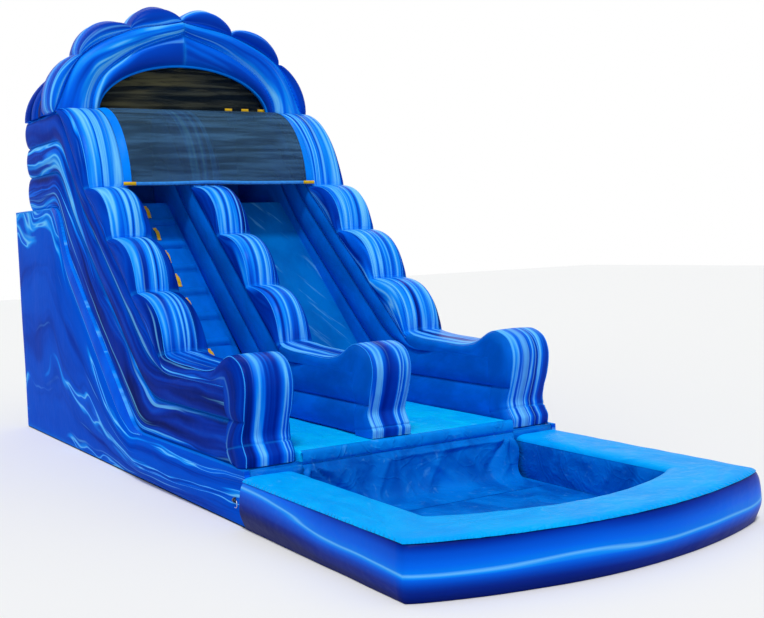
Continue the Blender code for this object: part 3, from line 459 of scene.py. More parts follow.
TUBE_STOPS = ((0.34, NAVY), (0.43, DEEP), (0.50, ROYAL), (0.55, DEEP), (0.585, BRIGHT), (0.605, SKY),
              (0.625, PALE), (0.645, SKY), (0.68, ROYAL), (0.76, NAVY))
# Rim colours by height, bottom to top: painted shade underneath, a pale painted highlight at mid height and
# a painted shadow under the cover
RIM_SHADE_STOPS = ((0.02, (0.0, 0.006, 0.12)), (0.20, (0.0, 0.018, 0.26)), (0.33, ROYAL), (0.43, BRIGHT),
             (0.475, SKY), (0.50, (0.12, 0.46, 0.95)), (0.53, (0.0, 0.19, 0.85)), (0.62, BRIGHT),
             (0.78, (0.0, 0.070, 0.58)), (0.90, DEEP), (0.98, UNDER_COVER_SHADOW))
RIBBON_STOPS = ((0.30, NAVY), (0.39, DEEP), (0.435, BRIGHT), (0.47, SKY), (0.505, PALE), (0.54, SKY),
                (0.575, BRIGHT), (0.62, DEEP), (0.67, NAVY), (0.74, BRIGHT))
# Darker stops for the pillars low down: painted shade on their fronts, which face away from the light above
PILLAR_SHADE_STOPS = ((0.30, NAVY), (0.39, DEEP), (0.45, ROYAL), (0.485, BRIGHT), (0.505, SKY),
                (0.53, PALE), (0.555, BRIGHT), (0.60, DEEP), (0.67, NAVY), (0.74, ROYAL))
CROWN_STOPS = ((0.33, COBALT), (0.42, ROYAL), (0.48, BRIGHT), (0.53, SKY), (0.565, PALE), (0.60, SKY),
               (0.65, BRIGHT), (0.72, COBALT))
PANEL_STOPS = ((0.30, DEEP), (0.40, ROYAL), (0.47, (0.0, 0.075, 0.60)), (0.575, (0.0, 0.085, 0.64)),
               (0.605, SKY), (0.618, PALE), (0.632, BRIGHT), (0.70, ROYAL))
MARBLE = marbled("marbled_vinyl", 0.22, 3.4, 1.1, TUBE_STOPS, 0.45, ior=1.05)
PANEL = marbled("side_panel_vinyl", 0.24, 2.6, 1.6, PANEL_STOPS, 0.50, ior=1.045)
RIBBON = marbled("ribbon_vinyl", 0.13, 5.2, 0.4, RIBBON_STOPS, 0.34, shaded_low_stops=PILLAR_SHADE_STOPS)
CROWN = marbled("crown_vinyl", 0.20, 3.2, 0.9, CROWN_STOPS, 0.34)
# The rim's colours by height are painted light and shade
RIM = height_shaded("pool_rim_vinyl", RIM_SHADE_STOPS)
# The apron's roll, painted lighter than its hanging part: painted light from above
LIT_ROLL = rumpled("azure_roll_lit", (0.0, 0.27, 0.88), (0.0, 0.20, 0.72), wrinkled=0.3)
BAND = plain("band_vinyl", (0.0, 0.12, 0.78), (0.0, 0.065, 0.58))
MAT = rumpled("azure_mat", (0.0, 0.56, 1.0), (0.0, 0.46, 1.0))
LANE = plain("lane_blue_vinyl", (0.0, 0.160, 0.78), (0.0, 0.105, 0.52))
# The slide bed's pale streaks are painted reflections
BED = plain("slide_bed_vinyl", (0.0, 0.165, 0.59), (0.0, 0.112, 0.45), 0.33, 0.30)
SKIRT = plain("piping_vinyl", (0.0, 0.26, 1.0), (0.0, 0.18, 0.85))
# The liner is the azure vinyl painted darker: painted shade inside the pool and under the landing
SHADED_LINER = rumpled("azure_liner_shaded", (0.0, 0.18, 0.70), (0.0, 0.10, 0.50))
POOL_COVER = rumpled("azure_cover", (0.0, 0.41, 0.98), (0.0, 0.35, 0.93), 0.44, 0.08)
BASE = plain("dark_base_vinyl", (0.008, 0.025, 0.12), (0.004, 0.012, 0.06), 0.55)
NET = netting("black_net", (0.045, 0.052, 0.045), (0.004, 0.009, 0.016), 0.86, (0.095, 0.090, 0.048))
SHOULDER_NET = netting("shoulder_net", (0.060, 0.160, 0.300), (0.030, 0.070, 0.122), 0.48)
WELT = plain("welt_vinyl", (0.05, 0.42, 1.0), (0.01, 0.28, 0.95))
TAPE = webbing("light_blue_tape", (0.03, 0.36, 1.0), (0.02, 0.24, 0.80))
STRAP = webbing("yellow_webbing", YELLOW, (0.80, 0.42, 0.0))
DARK_STRAP = webbing("dark_webbing", (0.006, 0.014, 0.05), (0.003, 0.006, 0.02))
STEEL = plating("plated_steel")


# Lines seen from the side, as (y, z) rows

def mix(first, second, share):
    """Point part of the way from one point to another."""
    return tuple(a + (b - a) * share for a, b in zip(first, second))


def reach(line):
    """Distance from the start of a line to each of its points."""
    steps = np.linalg.norm(np.diff(np.asarray(line, float), axis=0), axis=1)
    return np.concatenate([[0.0], np.cumsum(steps)])


def at(line, distances, places):
    """Points of a line at given distances along it."""
    line = np.asarray(line, float)
    return np.stack([np.interp(places, distances, line[:, axis]) for axis in range(line.shape[1])], -1)


def curve(points, count):
    """Smooth line through control points, sampled evenly."""
    points = np.asarray(points, float)
    padded = np.vstack([2 * points[0] - points[1], points, 2 * points[-1] - points[-2]])
    place = np.linspace(0, len(points) - 1, count)
    index = np.minimum(place.astype(int), len(points) - 2)
    t = (place - index)[:, None]
    a, b, c, d = (padded[index + step] for step in range(4))
    squared, cubed = 2 * a - 5 * b + 4 * c - d, 3 * b - a - 3 * c + d
    return 0.5 * (2 * b + (c - a) * t + squared * t ** 2 + cubed * t ** 3)


def smooth_line(corners):
    """Round each inner corner of a line with a short parabola, as the solids do."""
    line = [corners[0]]
    for before, corner, after in zip(corners, corners[1:], corners[2:]):
        ends = []
        for other in (before, after):
            run = (Vector(other) - Vector(corner)).length
            ends.append(mix(corner, other, min(BEND_SHARE, BEND_REACH / run)))
        for share in np.arange(9) / 8:
            line.append(mix(mix(ends[0], corner, share), mix(corner, ends[1], share), share))
    line.append(corners[-1])
    return line


def wall_ribs(rear):
    """Low and high end of each rib that crosses a wall, from the tower to the front."""
    low_foot, high_foot = (SLOPE_FOOT, LANDING_HEIGHT), (CAP_FOOT, LANDING_WALL_TOP)
    return (((rear, PLATFORM_HEIGHT), (rear, TOWER_TOP)),
            ((PLATFORM_EDGE, PLATFORM_HEIGHT), (SHOULDER_EDGE, TOWER_TOP)),
            (KNEE, CAP_KNEE),
            (mix(low_foot, KNEE, NEAR_FOOT_SHARE), mix(high_foot, CAP_KNEE, NEAR_FOOT_SHARE)),
            (low_foot, high_foot),
            ((PILLAR_DEPTH, LANDING_HEIGHT), (PILLAR_DEPTH, LANDING_WALL_TOP)))


def seam_line(rear, seam_shares, seam, shift=0.0):
    """Side-view line of one seam, moved along the ribs by a clearance."""
    corners = []
    for (low, high), shares in zip(wall_ribs(rear), seam_shares):
        length = (Vector(high) - Vector(low)).length
        corners.append(mix(low, high, shares[seam] + shift / length))
    return smooth_line(corners)


def refined(low, high, step):
    """Both lines of a strip divided into equally many short runs."""
    low, high = np.asarray(low, float), np.asarray(high, float)
    lows, highs = [low[:1]], [high[:1]]
    for index in range(len(low) - 1):
        longest = max(np.linalg.norm(line[index + 1] - line[index]) for line in (low, high))
        count = max(1, int(np.ceil(longest / step)))
        share = (np.arange(count) + 1)[:, None] / count
        lows.append(low[index] + (low[index + 1] - low[index]) * share)
        highs.append(high[index] + (high[index + 1] - high[index]) * share)
    return np.vstack(lows), np.vstack(highs)


def quarter(start, end, power, steps=24):
    """Rounded nose that leaves its start level and meets its end upright."""
    angle = np.linspace(0, pi / 2, steps + 1)
    run = np.sin(angle) ** (2 / power)
    drop = 1 - np.clip(np.cos(angle), 0, 1) ** (2 / power)
    (y, z), (far_y, far_z) = start, end
    return [(y + (far_y - y) * a, z + (far_z - z) * b) for a, b in zip(run, drop)]


def lobe_creases():
    """Low points between the lobes of a cap, spaced evenly down the slope."""
    knee, foot = Vector(CAP_KNEE), Vector((CAP_FOOT, LANDING_WALL_TOP))
    along = (foot - knee).normalized()
    over = Vector((along[1], -along[0])) * CREASE_THICKNESS
    last = knee + (foot - knee) * (1 - NEAR_FOOT_SHARE / 2) + over
    return [tuple((knee + over).lerp(last, index / LOBE_COUNT)) for index in range(LOBE_COUNT + 1)]


def cap_top(rear, foot):
    """Upper outline of a cap in groups: shoulder, lobes, landing and pillar."""
    dips = lobe_creases()
    start = (CAP_START, TOWER_TOP + CAP_START_THICKNESS)
    groups = [quarter(start, dips[0], 2.0)]
    if rear > CAP_START:
        groups.insert(0, [(rear, start[1]), start])
    groups += [quarter(above, below, 2.6) for above, below in zip(dips, dips[1:])]
    landing = [dips[-1]]
    for along, thick in LANDING_CAP_SHARES:
        y = PILLAR_DEPTH + (CAP_FOOT - PILLAR_DEPTH) * along
        landing.append((y, LANDING_WALL_TOP + LANDING_CAP_THICKNESS * thick))
    tall = LANDING_WALL_TOP + PILLAR_HEAD_HEIGHT - foot
    pillar = [landing[-1]] + [(PILLAR_DEPTH * deep, foot + tall * up) for deep, up in PILLAR_SHARES]
    rounded = curve(landing + pillar[1:], 90)
    split = int(np.argmin(np.linalg.norm(rounded - np.array(landing[-1]), axis=1)))
    return groups + [rounded[:split + 1].tolist(), rounded[split:].tolist()]


def cap_lines(rear, seam_shares, seam, foot):
    """Lower and upper line of a cap, the places along it and where its groups meet."""
    begin = max(CAP_START, rear) if rear < TOWER_REAR else CAP_START
    line = seam_line(rear, seam_shares, seam, CLEARANCE)
    under = [(begin, TOWER_TOP + CLEARANCE)] + [point for point in line if point[0] < begin - CLEARANCE]
    under[-1] = (PILLAR_DEPTH - CLEARANCE, LANDING_WALL_TOP + CLEARANCE)
    under.append((PILLAR_DEPTH - CLEARANCE, foot))
    under = np.array(under)
    far = reach(under)
    groups = cap_top(rear if rear < TOWER_REAR else CAP_START, foot)
    dense = np.linspace(0, far[-1], 2000)
    spots = at(under, far, dense)
    ends = [0.0]
    for group in groups[:-1]:
        ends.append(float(dense[np.argmin(np.linalg.norm(spots - np.array(group[-1]), axis=1))]))
    ends.append(float(far[-1]))
    upper, places = [], []
    for group, first, last in zip(groups, ends, ends[1:]):
        steps = reach(group)
        upper += list(group)
        places += list(first + (last - first) * steps / steps[-1])
    coarse, fine = np.arange(0, far[-1], 0.025), np.arange(ends[-2], far[-1], 0.010)
    stations = np.unique(np.concatenate([coarse, fine, far, ends]).round(5))
    stations = stations[np.concatenate([[True], np.diff(stations) > 0.004])]
    # Places that two groups share are kept apart, so that the upper line doesn't jump there
    places = np.array(places) + np.arange(len(places)) * 1e-9
    return at(under, far, stations), at(upper, places, stations), stations, ends


# Skins

def ripples(first, second, seed, count=10, low=2.0, high=9.0):
    """Gentle irregular waves between -1 and 1 over two coordinates in metres."""
    dice = random.Random(seed)
    total = np.zeros(np.broadcast(first, second).shape)
    for _ in range(count):
        turn, size, start = dice.uniform(0, pi), dice.uniform(low, high), dice.uniform(0, 2 * pi)
        total = total + np.sin((first * cos(turn) + second * sin(turn)) * size + start)
    return total / count ** 0.5 / 2


def beside(values, spots, width):
    """1 at each of the given spots, fading over a width."""
    spots = np.asarray(spots, float)
    return np.exp(-(np.abs(np.asarray(values)[..., None] - spots).min(-1) / width) ** 2)


def peak(value, middle, width):
    """1 where a number is at the middle, fading over a width."""
    return float(np.exp(-((value - middle) / width) ** 2))


def eased(value, low, high):
    """0 up to low, 1 from high on and smooth between."""
    share = np.clip((np.asarray(value, float) - low) / (high - low), 0, 1)
    return share * share * (3 - 2 * share)


def closed(face, back):
    """One loop, or the values along it, from two that run the same way."""
    return np.concatenate([face, back[::-1]])


def half_picks(rows, first, second):
    """Paint numbers of loops that run over one half of a piece and back over the other."""
    half = len(rows[0]) // 2
    return np.tile([first] * half + [second] * half, (len(rows) - 1, 1))


def own_shift(name):
    """Number from a piece's name, which gives its print a run of its own."""
    return (sum(ord(letter) * (place + 3) for place, letter in enumerate(name)) % 97) * 0.37


def set_marks(mesh, cut, seam=None):
    """Write the attributes cut and seam."""
    spots = mesh.attributes.new("cut", "FLOAT_VECTOR", "CORNER").data
    spots.foreach_set("vector", np.asarray(cut, np.float32).ravel())
    fades = mesh.attributes.new("seam", "FLOAT", "POINT").data
    if seam is not None:
        fades.foreach_set("value", np.asarray(seam, np.float32))


def skin(name, rows, paints, picks=None, seam=None, layered=False, ring=False, shift=None, **kept):
    """Mesh over rows of loops, closed at its ends, or with the last row joined to the first.

    Layered loops are a sheet's two faces, closed along its rims. picks numbers the paint of each
    quad, seam says how near each point is to a seam, and the rest goes to finish_piece.
    """
    rows = np.asarray(rows, float)
    count, around = rows.shape[:2]
    half = around // 2
    points = rows.reshape(-1, 3).copy()
    points[:, 1] += SEAM_Y
    run = np.concatenate([[0], np.cumsum(np.linalg.norm(np.diff(rows, axis=0), axis=2).mean(1))])
    looped = np.concatenate([rows, rows[:, :1]], axis=1)
    over = np.concatenate([[0], np.cumsum(np.linalg.norm(np.diff(looped, axis=1), axis=2).mean(0))])
    if layered:
        back = over[:half][::-1]
        over = np.concatenate([over[:half], back, over[:1]])
    if ring:
        run = np.append(run, run[-1] + np.linalg.norm(rows[-1] - rows[0], axis=1).mean())
    row = np.arange(len(run) - 1)[:, None]
    column = np.arange(around)[None, :]
    after_row, after_column = (row + 1) % count, (column + 1) % around
    quads = [row * around + column, row * around + after_column,
             after_row * around + after_column, after_row * around + column]
    quads = np.stack(quads, -1).reshape(-1, 4)
    along = np.stack(np.broadcast_arrays(run[row], run[row], run[row + 1], run[row + 1]), -1)
    across = np.stack([over[column], over[column + 1], over[column + 1], over[column]], -1)
    grid = (len(row), around, 4)
    cut = [np.stack([np.broadcast_to(far, grid).reshape(-1) for far in (along, across)], -1)]
    faces = quads.tolist()
    marks = [np.zeros(len(quads), int) if picks is None else np.asarray(picks).reshape(-1)]
    for end in () if ring else (0, count - 1):
        base = end * around
        if layered:
            for index in range(half - 1):
                far = base + around - 1 - index
                faces.append([base + index, base + index + 1, far - 1, far])
                cut.append(np.array([[run[end], over[index]]] * 4))
            marks.append(np.full(half - 1, int(marks[0][0])))
            continue
        # A fan of triangles, printed as if the vinyl lay level over the end
        centre = len(points)
        points = np.vstack([points, points[base:base + around].mean(0)])
        level = points - points[centre]
        level = np.column_stack([run[end] + level[:, 0] + level[:, 1], over[half] + level[:, 2]])
        for index in range(around):
            corners = [base + index, base + (index + 1) % around, centre]
            faces.append(corners)
            cut.append(level[corners])
        nearest = marks[0][:around] if end == 0 else marks[0][-around:]
        marks.append(np.full(around, int(nearest.min())))
    mesh = bpy.data.meshes.new(name)
    mesh.from_pydata(points.tolist(), [], faces)
    cut = np.vstack(cut)
    shifts = np.full(len(cut), own_shift(name) if shift is None else shift)
    fades = np.zeros(len(points))
    if seam is not None:
        fades[:count * around] = np.broadcast_to(seam, (count, around)).reshape(-1)
    set_marks(mesh, np.column_stack([cut, shifts]), fades)
    for paint in paints if isinstance(paints, list) else [paints]:
        mesh.materials.append(paint)
    mesh.polygons.foreach_set("material_index", np.concatenate(marks).astype(np.int32))
    return finish_piece(name, mesh, **kept)


def sheet_skin(name, top, thickness, toward, paints, picks=None, seam=None, **kept):
    """Skin of a sheet from rows of its face; its back lies a thickness further toward a direction."""
    top = np.asarray(top, float)
    back = top + np.asarray(toward, float) * thickness
    rows = np.concatenate([top, back[:, ::-1]], axis=1)
    if picks is not None:
        blank = np.zeros((len(picks), 1), int)
        picks = np.concatenate([picks, blank, picks[:, ::-1], blank], axis=1)
    if seam is not None:
        seam = np.concatenate([seam, np.asarray(seam)[:, ::-1]], axis=1)
    return skin(name, rows, paints, picks, seam, layered=True, **kept)


def finish_piece(name, mesh, slot="marbled_vinyl", body="slide", stands_for=()):
    """Turn the faces outward, shade them smooth and hang the piece on its body.

    A piece named after a node, with _skin behind it, stands for that node.
    """
    work = bmesh.new()
    work.from_mesh(mesh)
    bmesh.ops.recalc_face_normals(work, faces=work.faces)
    work.to_mesh(mesh)
    work.free()
    mesh.shade_smooth()
    mesh.set_sharp_from_angle(angle=radians(60))
    piece = bpy.data.objects.new(name, mesh)
    bpy.context.scene.collection.objects.link(piece)
    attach(piece, body)
    node = name.removesuffix("_skin")
    if stands_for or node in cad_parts:
        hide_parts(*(stands_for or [node]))
    return piece


def piping(name, lines, radius, paint, sides=7, slot="marbled_vinyl"):
    """Round welts along several lines of points, as one piece."""
    points, faces, cut = [], [], []
    for number, line in enumerate(lines):
        line = np.asarray(line, float)
        line = line + np.array([0, SEAM_Y, 0])
        along = np.gradient(line, axis=0)
        along /= np.linalg.norm(along, axis=1)[:, None]
        aside = np.cross(along, np.array([0.31, 0.11, 0.94]))
        aside /= np.linalg.norm(aside, axis=1)[:, None]
        up = np.cross(aside, along)
        base, run = len(points), reach(line)
        for index in range(len(line)):
            for side in range(sides):
                turn = 2 * pi * side / sides
                out = aside[index] * cos(turn) + up[index] * sin(turn)
                points.append((line[index] + radius * out).tolist())
        for index in range(len(line) - 1):
            near, far = base + index * sides, base + (index + 1) * sides
            for side in range(sides):
                after = (side + 1) % sides
                faces.append([near + side, near + after, far + after, far + side])
                here, there = side * radius, (side + 1) * radius
                cut += [(run[index], here, number), (run[index], there, number),
                        (run[index + 1], there, number), (run[index + 1], here, number)]
        for start in (base, base + (len(line) - 1) * sides):
            faces.append([start + side for side in range(sides)])
            cut += [(0, 0, number)] * sides
    mesh = bpy.data.meshes.new(name)
    mesh.from_pydata(points, [], faces)
    set_marks(mesh, cut)
    mesh.materials.append(paint)
    return finish_piece(name, mesh, slot)


def softened(node, paint, slot, wave=0.004, step=0.15):
    """Copy of a plain solid with eased edges and slightly uneven faces."""
    work = bmesh.new()
    work.from_mesh(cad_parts[node].data)
    bmesh.ops.remove_doubles(work, verts=work.verts, dist=0.00005)
    bmesh.ops.dissolve_limit(work, angle_limit=radians(2), verts=work.verts, edges=work.edges)
    low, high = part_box(node)
    ease = min(0.012, min(high - low) * 0.3)
    bmesh.ops.bevel(work, geom=work.edges[:], offset=ease, segments=2, affect="EDGES",
                    clamp_overlap=True)
    bmesh.ops.triangulate(work, faces=work.faces)
    for _ in range(6):
        long_edges = [edge for edge in work.edges if edge.calc_length() > step * 2]
        if not long_edges:
            break
        bmesh.ops.subdivide_edges(work, edges=long_edges, cuts=1)
        bmesh.ops.triangulate(work, faces=work.faces)
    work.normal_update()
    for corner in work.verts:
        place = corner.co
        lift = wave * float(ripples(place.x + place.z, place.y - place.z, 5, 6, 4, 12))
        corner.co = place + corner.normal * min(lift, 0.0)
    mesh = bpy.data.meshes.new(node + "_skin")
    work.to_mesh(mesh)
    work.free()
    cut = np.zeros((len(mesh.loops), 3), np.float32)
    for face in mesh.polygons:
        flat = max(range(3), key=lambda axis: abs(face.normal[axis]))
        first, second = [axis for axis in (1, 0, 2) if axis != flat]
        for loop in face.loop_indices:
            place = mesh.vertices[mesh.loops[loop].vertex_index].co
            cut[loop] = (place[first], place[second], len(node))
    set_marks(mesh, cut)
    mesh.materials.append(paint)
    return finish_piece(node + "_skin", mesh, slot)


# Walls

def chamber(name, low, high, half, x, outer_side, flush=""):
    """Air chamber between two seam lines. outer_side is -1 or 1 for the marbled side, 0 for none.

    Over the landing the seams named by flush, top or both, lie level with the chamber's sides.
    """
    low, high = refined(low, high, 0.09)
    share = np.linspace(0, 1, 25)
    pinched = np.sin(pi * share) ** CHAMBER_POWER
    level = {"": pinched, "top": np.where(share > 0.5, 1.0, pinched), "both": np.ones(len(share))}
    level = level[flush]
    place = reach((low + high) / 2)
    round_end = np.sqrt(1 - (1 - np.clip(place / CHAMBER_END, 0, 1)) ** 2)
    rows, fades = [], []
    for index, (under, over) in enumerate(zip(low, high)):
        tall = np.linalg.norm(over - under)
        hug = CHAMBER_HUG * (1 - round_end[index])
        held = float(eased(-under[0], -CAP_FOOT - 0.2, -CAP_FOOT + 0.2))
        swell = pinched + (level - pinched) * held
        wave = np.minimum(ripples(place[index], share * tall, 3, 8, 2, 10), 0) * pinched * (1 - held)
        wide = half - min(SEAM_INSET, tall * 0.4) * (1 - swell) - hug + 0.004 * wave
        ends = under + (over - under) * (0.5 + (share[:, None] - 0.5) * (1 - hug))
        rows.append(closed(np.column_stack([x - wide, ends]), np.column_stack([x + wide, ends])))
        fade = beside(share, (0, 1), CHAMBER_FADE) * (1 - held * (level > pinched))
        fades.append(closed(fade, fade))
    picks = half_picks(rows, *{-1: (0, 1), 0: (1, 1), 1: (1, 0)}[outer_side])
    skin(name + "_skin", rows, [MARBLE, LANE], picks, fades)


def cap_section(hem_wide, bend_high, edge_wide, edge_high):
    """Half section of a cap, as shares of its half width and height: side face, then ribbon."""
    straight = np.linspace(0, 1, SIDE_COLUMNS // 2 + 1)
    turn = np.linspace(0, 1, SIDE_COLUMNS - SIDE_COLUMNS // 2 + 1)[1:] * SIDE_TURN
    rise = np.linspace(0, pi / 2, RIBBON_COLUMNS + 1)[1:]
    wide = np.concatenate([hem_wide + (1 - hem_wide) * np.sin(pi / 2 * straight),
                           1 - (1 - edge_wide) * (1 - np.cos(turn)) / (1 - cos(SIDE_TURN)),
                           edge_wide * np.clip(np.cos(rise), 0, 1) ** (2 / RIBBON_POWER)])
    high = np.concatenate([bend_high * straight,
                           bend_high + (edge_high - bend_high) * np.sin(turn) / sin(SIDE_TURN),
                           edge_high + (1 - edge_high) * np.sin(rise) ** (2 / RIBBON_POWER)])
    return wide, high


def pillar_creases(heights, columns):
    """How deep the chambers' seams run on across a pillar's side face, from 0 to 1."""
    upper = np.clip((heights - SIDE_CREASE) / (LANDING_WALL_TOP - 0.0105 - SIDE_CREASE), 0, 0.5)
    lower = np.clip((heights - LANDING_HEIGHT) / (SIDE_CREASE - LANDING_HEIGHT), 0, 1)
    swell = np.clip(np.sin(pi * np.where(heights > SIDE_CREASE, upper, lower)), 0, 1)
    depth = 1 - swell ** CHAMBER_POWER
    hem = np.clip(1 - columns / (SIDE_COLUMNS * 0.6), 0, 1)
    face = eased(-columns, -SIDE_COLUMNS - 1, -SIDE_COLUMNS + 2)
    return np.where(lower < 0.5, depth * hem, depth) * face


def cap_picks(count, around, over_landing, outer_side):
    """Paints of a cap: 0 on its ribbon, 1 on its sides, and 2 on a lane's side over the landing."""
    picks = np.zeros((count, around), int)
    sides = ((-1, slice(0, SIDE_COLUMNS)), (1, slice(around - SIDE_COLUMNS - 1, around)))
    for side, columns in sides:
        picks[:, columns] = 1
        if outer_side != side:
            picks[over_landing, columns] = 2
    return picks


def cap(name, rear, seam_shares, seam, foot, half, x, outer_side):
    """Scalloped cap: a marbled ribbon with pinched lobes, welted to its two side faces."""
    low, high, place, ends = cap_lines(rear, seam_shares, seam, foot)
    lobes = ends[-6:-2]
    half = half - 0.001
    pinch = beside(place, lobes, 0.045)
    landing = eased(place, ends[-3] - 0.02, ends[-3] + 0.16)
    upright = eased(place, ends[-2] - 0.10, ends[-2] + 0.12)
    left_edge, right_edge, pillar_edge = LOBE_EDGES[outer_side]
    right_edges = np.full(len(place), right_edge)
    if outer_side:
        # Over the shoulder both edges are alike, and the right one draws in at the first lobe
        drawn = eased(place, lobes[0] - 0.04, lobes[0] + 0.04)
        right_edges = left_edge + (right_edge - left_edge) * drawn
    rows, welts = [], ([], [])
    for index in range(len(place)):
        tall = np.linalg.norm(high[index] - low[index])
        flat = landing[index] * (1 - upright[index])
        hem_wide = 0.93 + 0.07 * landing[index]
        edge_high = 0.84 - 0.06 * flat + 0.11 * upright[index]
        bend_high = 0.32 + 0.30 * upright[index]
        crest = high[index].copy()
        bulge = 0.28 * max(0.0, crest[0] - 0.02) * float(eased(-crest[1], -1.15, -1.0))
        crest[0] -= bulge * upright[index]
        cross = peak(high[index][1], PILLAR_SEAM, 0.010) * upright[index]
        sides = []
        for toward, lobe_edge in ((-half, left_edge), (half, right_edges[index])):
            edge_wide = lobe_edge + (pillar_edge - lobe_edge) * landing[index]
            wide, lift = cap_section(hem_wide, bend_high, edge_wide, edge_high)
            dent = (1 + ripples(place[index], wide * half, 8, 8, 6, 22)) * 0.5
            lift = lift - 0.005 / max(tall, 0.05) * dent * np.clip(lift / 0.3, 0, 1)
            wide = wide * (1 - 0.035 * pinch[index] * (1 - landing[index]))
            up = low[index] + (crest - low[index]) * lift[:, None]
            if upright[index] > 0:
                up = up + (low[index] - up) * 0.05 * cross
                crease = pillar_creases(up[:, 1], np.arange(len(wide))) * upright[index]
                wide = wide * (1 - 0.02 * cross) - SEAM_INSET / half * crease
            sides.append(np.column_stack([x + toward * wide, up]))
        left, right = sides
        rows.append(closed(left, right[:-1]))
        for welt, side, out in zip(welts, sides, (-0.002, 0.002)):
            welt.append(side[SIDE_COLUMNS] + np.array([out, 0, 0]))
    around = len(rows[0])
    picks = cap_picks(len(rows) - 1, around, landing[:-1] > 0.5, outer_side)
    fade = beside(np.arange(around), (SIDE_COLUMNS, around - SIDE_COLUMNS - 1), 1.3)
    crossing = beside(high[:, 1], (PILLAR_SEAM,), 0.015) * upright
    seam = np.maximum(fade[None, :] * 0.8, np.maximum(pinch * (1 - landing), crossing)[:, None] * 0.9)
    skin(name + "_skin", rows, [RIBBON, MARBLE, LANE], picks, seam)
    piping(name + "_welt", welts, WELT_RADIUS, WELT)


def build_walls():
    """Outer walls and divider, each a stack of chambers under a cap."""
    outer = (WALL_WIDTH / 2, TOWER_REAR, OUTER_SEAM_SHARES, LEVELS, LANDING_HEIGHT)
    inner = (DIVIDER_WIDTH / 2, DIVIDER_REAR, DIVIDER_SEAM_SHARES, ("lower", "upper"), MAT_TOP)
    for name, x, outer_side, (half, rear, shares, levels, foot) in (
            ("wall_left", -WALL_CENTRE, -1, outer), ("wall_right", WALL_CENTRE, 1, outer),
            ("divider", DIVIDER_SHIFT, 0, inner)):
        for index, level in enumerate(levels):
            low = seam_line(rear, shares, index, CLEARANCE / 2)
            high = seam_line(rear, shares, index + 1, -CLEARANCE / 2)
            flush = {"lower": "", "middle": "top", "upper": "both" if outer_side else "top"}[level]
            chamber(name + "_" + level, low, high, half, x, outer_side, flush)
        cap(name + "_cap", rear, shares, len(levels), foot + CLEARANCE, half, x, outer_side)


# Base

def base_lines():
    """Ground line and seam line of the side panels, from the rear to the front."""
    seam = seam_line(TOWER_REAR, OUTER_SEAM_SHARES, 0, -CLEARANCE / 2)
    rear = (BASE_LENGTH, PLATFORM_HEIGHT - CLEARANCE / 2)
    level = LANDING_HEIGHT - CLEARANCE / 2
    seam = [rear, mix(rear, seam[0], 0.5)] + seam[:-1] + [(PILLAR_DEPTH, level), (0, level)]
    share = reach(seam) / reach(seam)[-1]
    ground = np.full((len(share), 2), SHEET_THICKNESS + CLEARANCE)
    ground[:, 0] = BASE_LENGTH * (1 - share)
    return refined(ground, seam, 0.10)


def build_side_panels():
    """Swelling side panels with a welted band along their sloping top edge."""
    ground, seam = base_lines()
    along = reach(seam) / reach(seam)[-1]
    ends = np.sqrt(np.clip(np.sin(pi * np.clip(along * 1.02, 0, 1)), 0, 1))
    tall = np.linalg.norm(seam - ground, axis=1)
    shown = eased(-seam[:, 0], -PLATFORM_EDGE - 0.35, -PLATFORM_EDGE + 0.05)
    shown = shown * eased(seam[:, 0], SLOPE_FOOT - 0.3, SLOPE_FOOT + 0.5)
    band = np.maximum(np.minimum(0.19, tall * 0.30) * shown, 0.02) / tall
    for side, sign, shift in (("left", -1, 3.1), ("right", 1, 8.7)):
        rows, fades, welt = [], [], []
        for index in range(len(ground)):
            edge = 1 - band[index]
            share = np.concatenate([np.linspace(0, edge, 30), np.linspace(edge, 1, 12)[1:]])
            rise = seam[index] - ground[index]
            spots = ground[index] + rise * share[:, None]
            wave = 0.012 * ripples(spots[:, 0], spots[:, 1], 11 + sign, 12, 1.5, 6)
            swell = SIDE_BULGE * ends[index] * np.sin(pi * share) ** 0.85 + wave * np.sin(pi * share)
            swell -= 0.016 * shown[index] * np.exp(-((share - edge) / 0.018) ** 2)
            hump = np.clip(np.sin(pi * np.clip((share - edge) / band[index], 0, 1)), 0, 1) ** 0.6
            swell = np.clip(swell + 0.014 * shown[index] * hump, -0.03, SIDE_BULGE)
            rows.append(np.column_stack([sign * (HALF_WIDTH + swell), spots]))
            fade = beside(share, (edge,), SEAM_FADE) * shown[index]
            fades.append(np.maximum(beside(share, (0, 1), SEAM_FADE), fade))
            if shown[index] > 0.05:
                out = HALF_WIDTH + float(np.interp(edge, share, swell)) + 0.004
                welt.append((sign * out, *(ground[index] + rise * edge)))
        picks = np.zeros((len(rows) - 1, 40), int)
        picks[shown[:-1] > 0.05, 29:] = 1
        name = "base_panel_" + side
        panel = sheet_skin(name + "_skin", rows, PANEL_THICKNESS, (-sign, 0, 0), [PANEL, BAND], picks,
                           fades, shift=shift)
        piping(name + "_welt", [welt], 0.005, WELT)


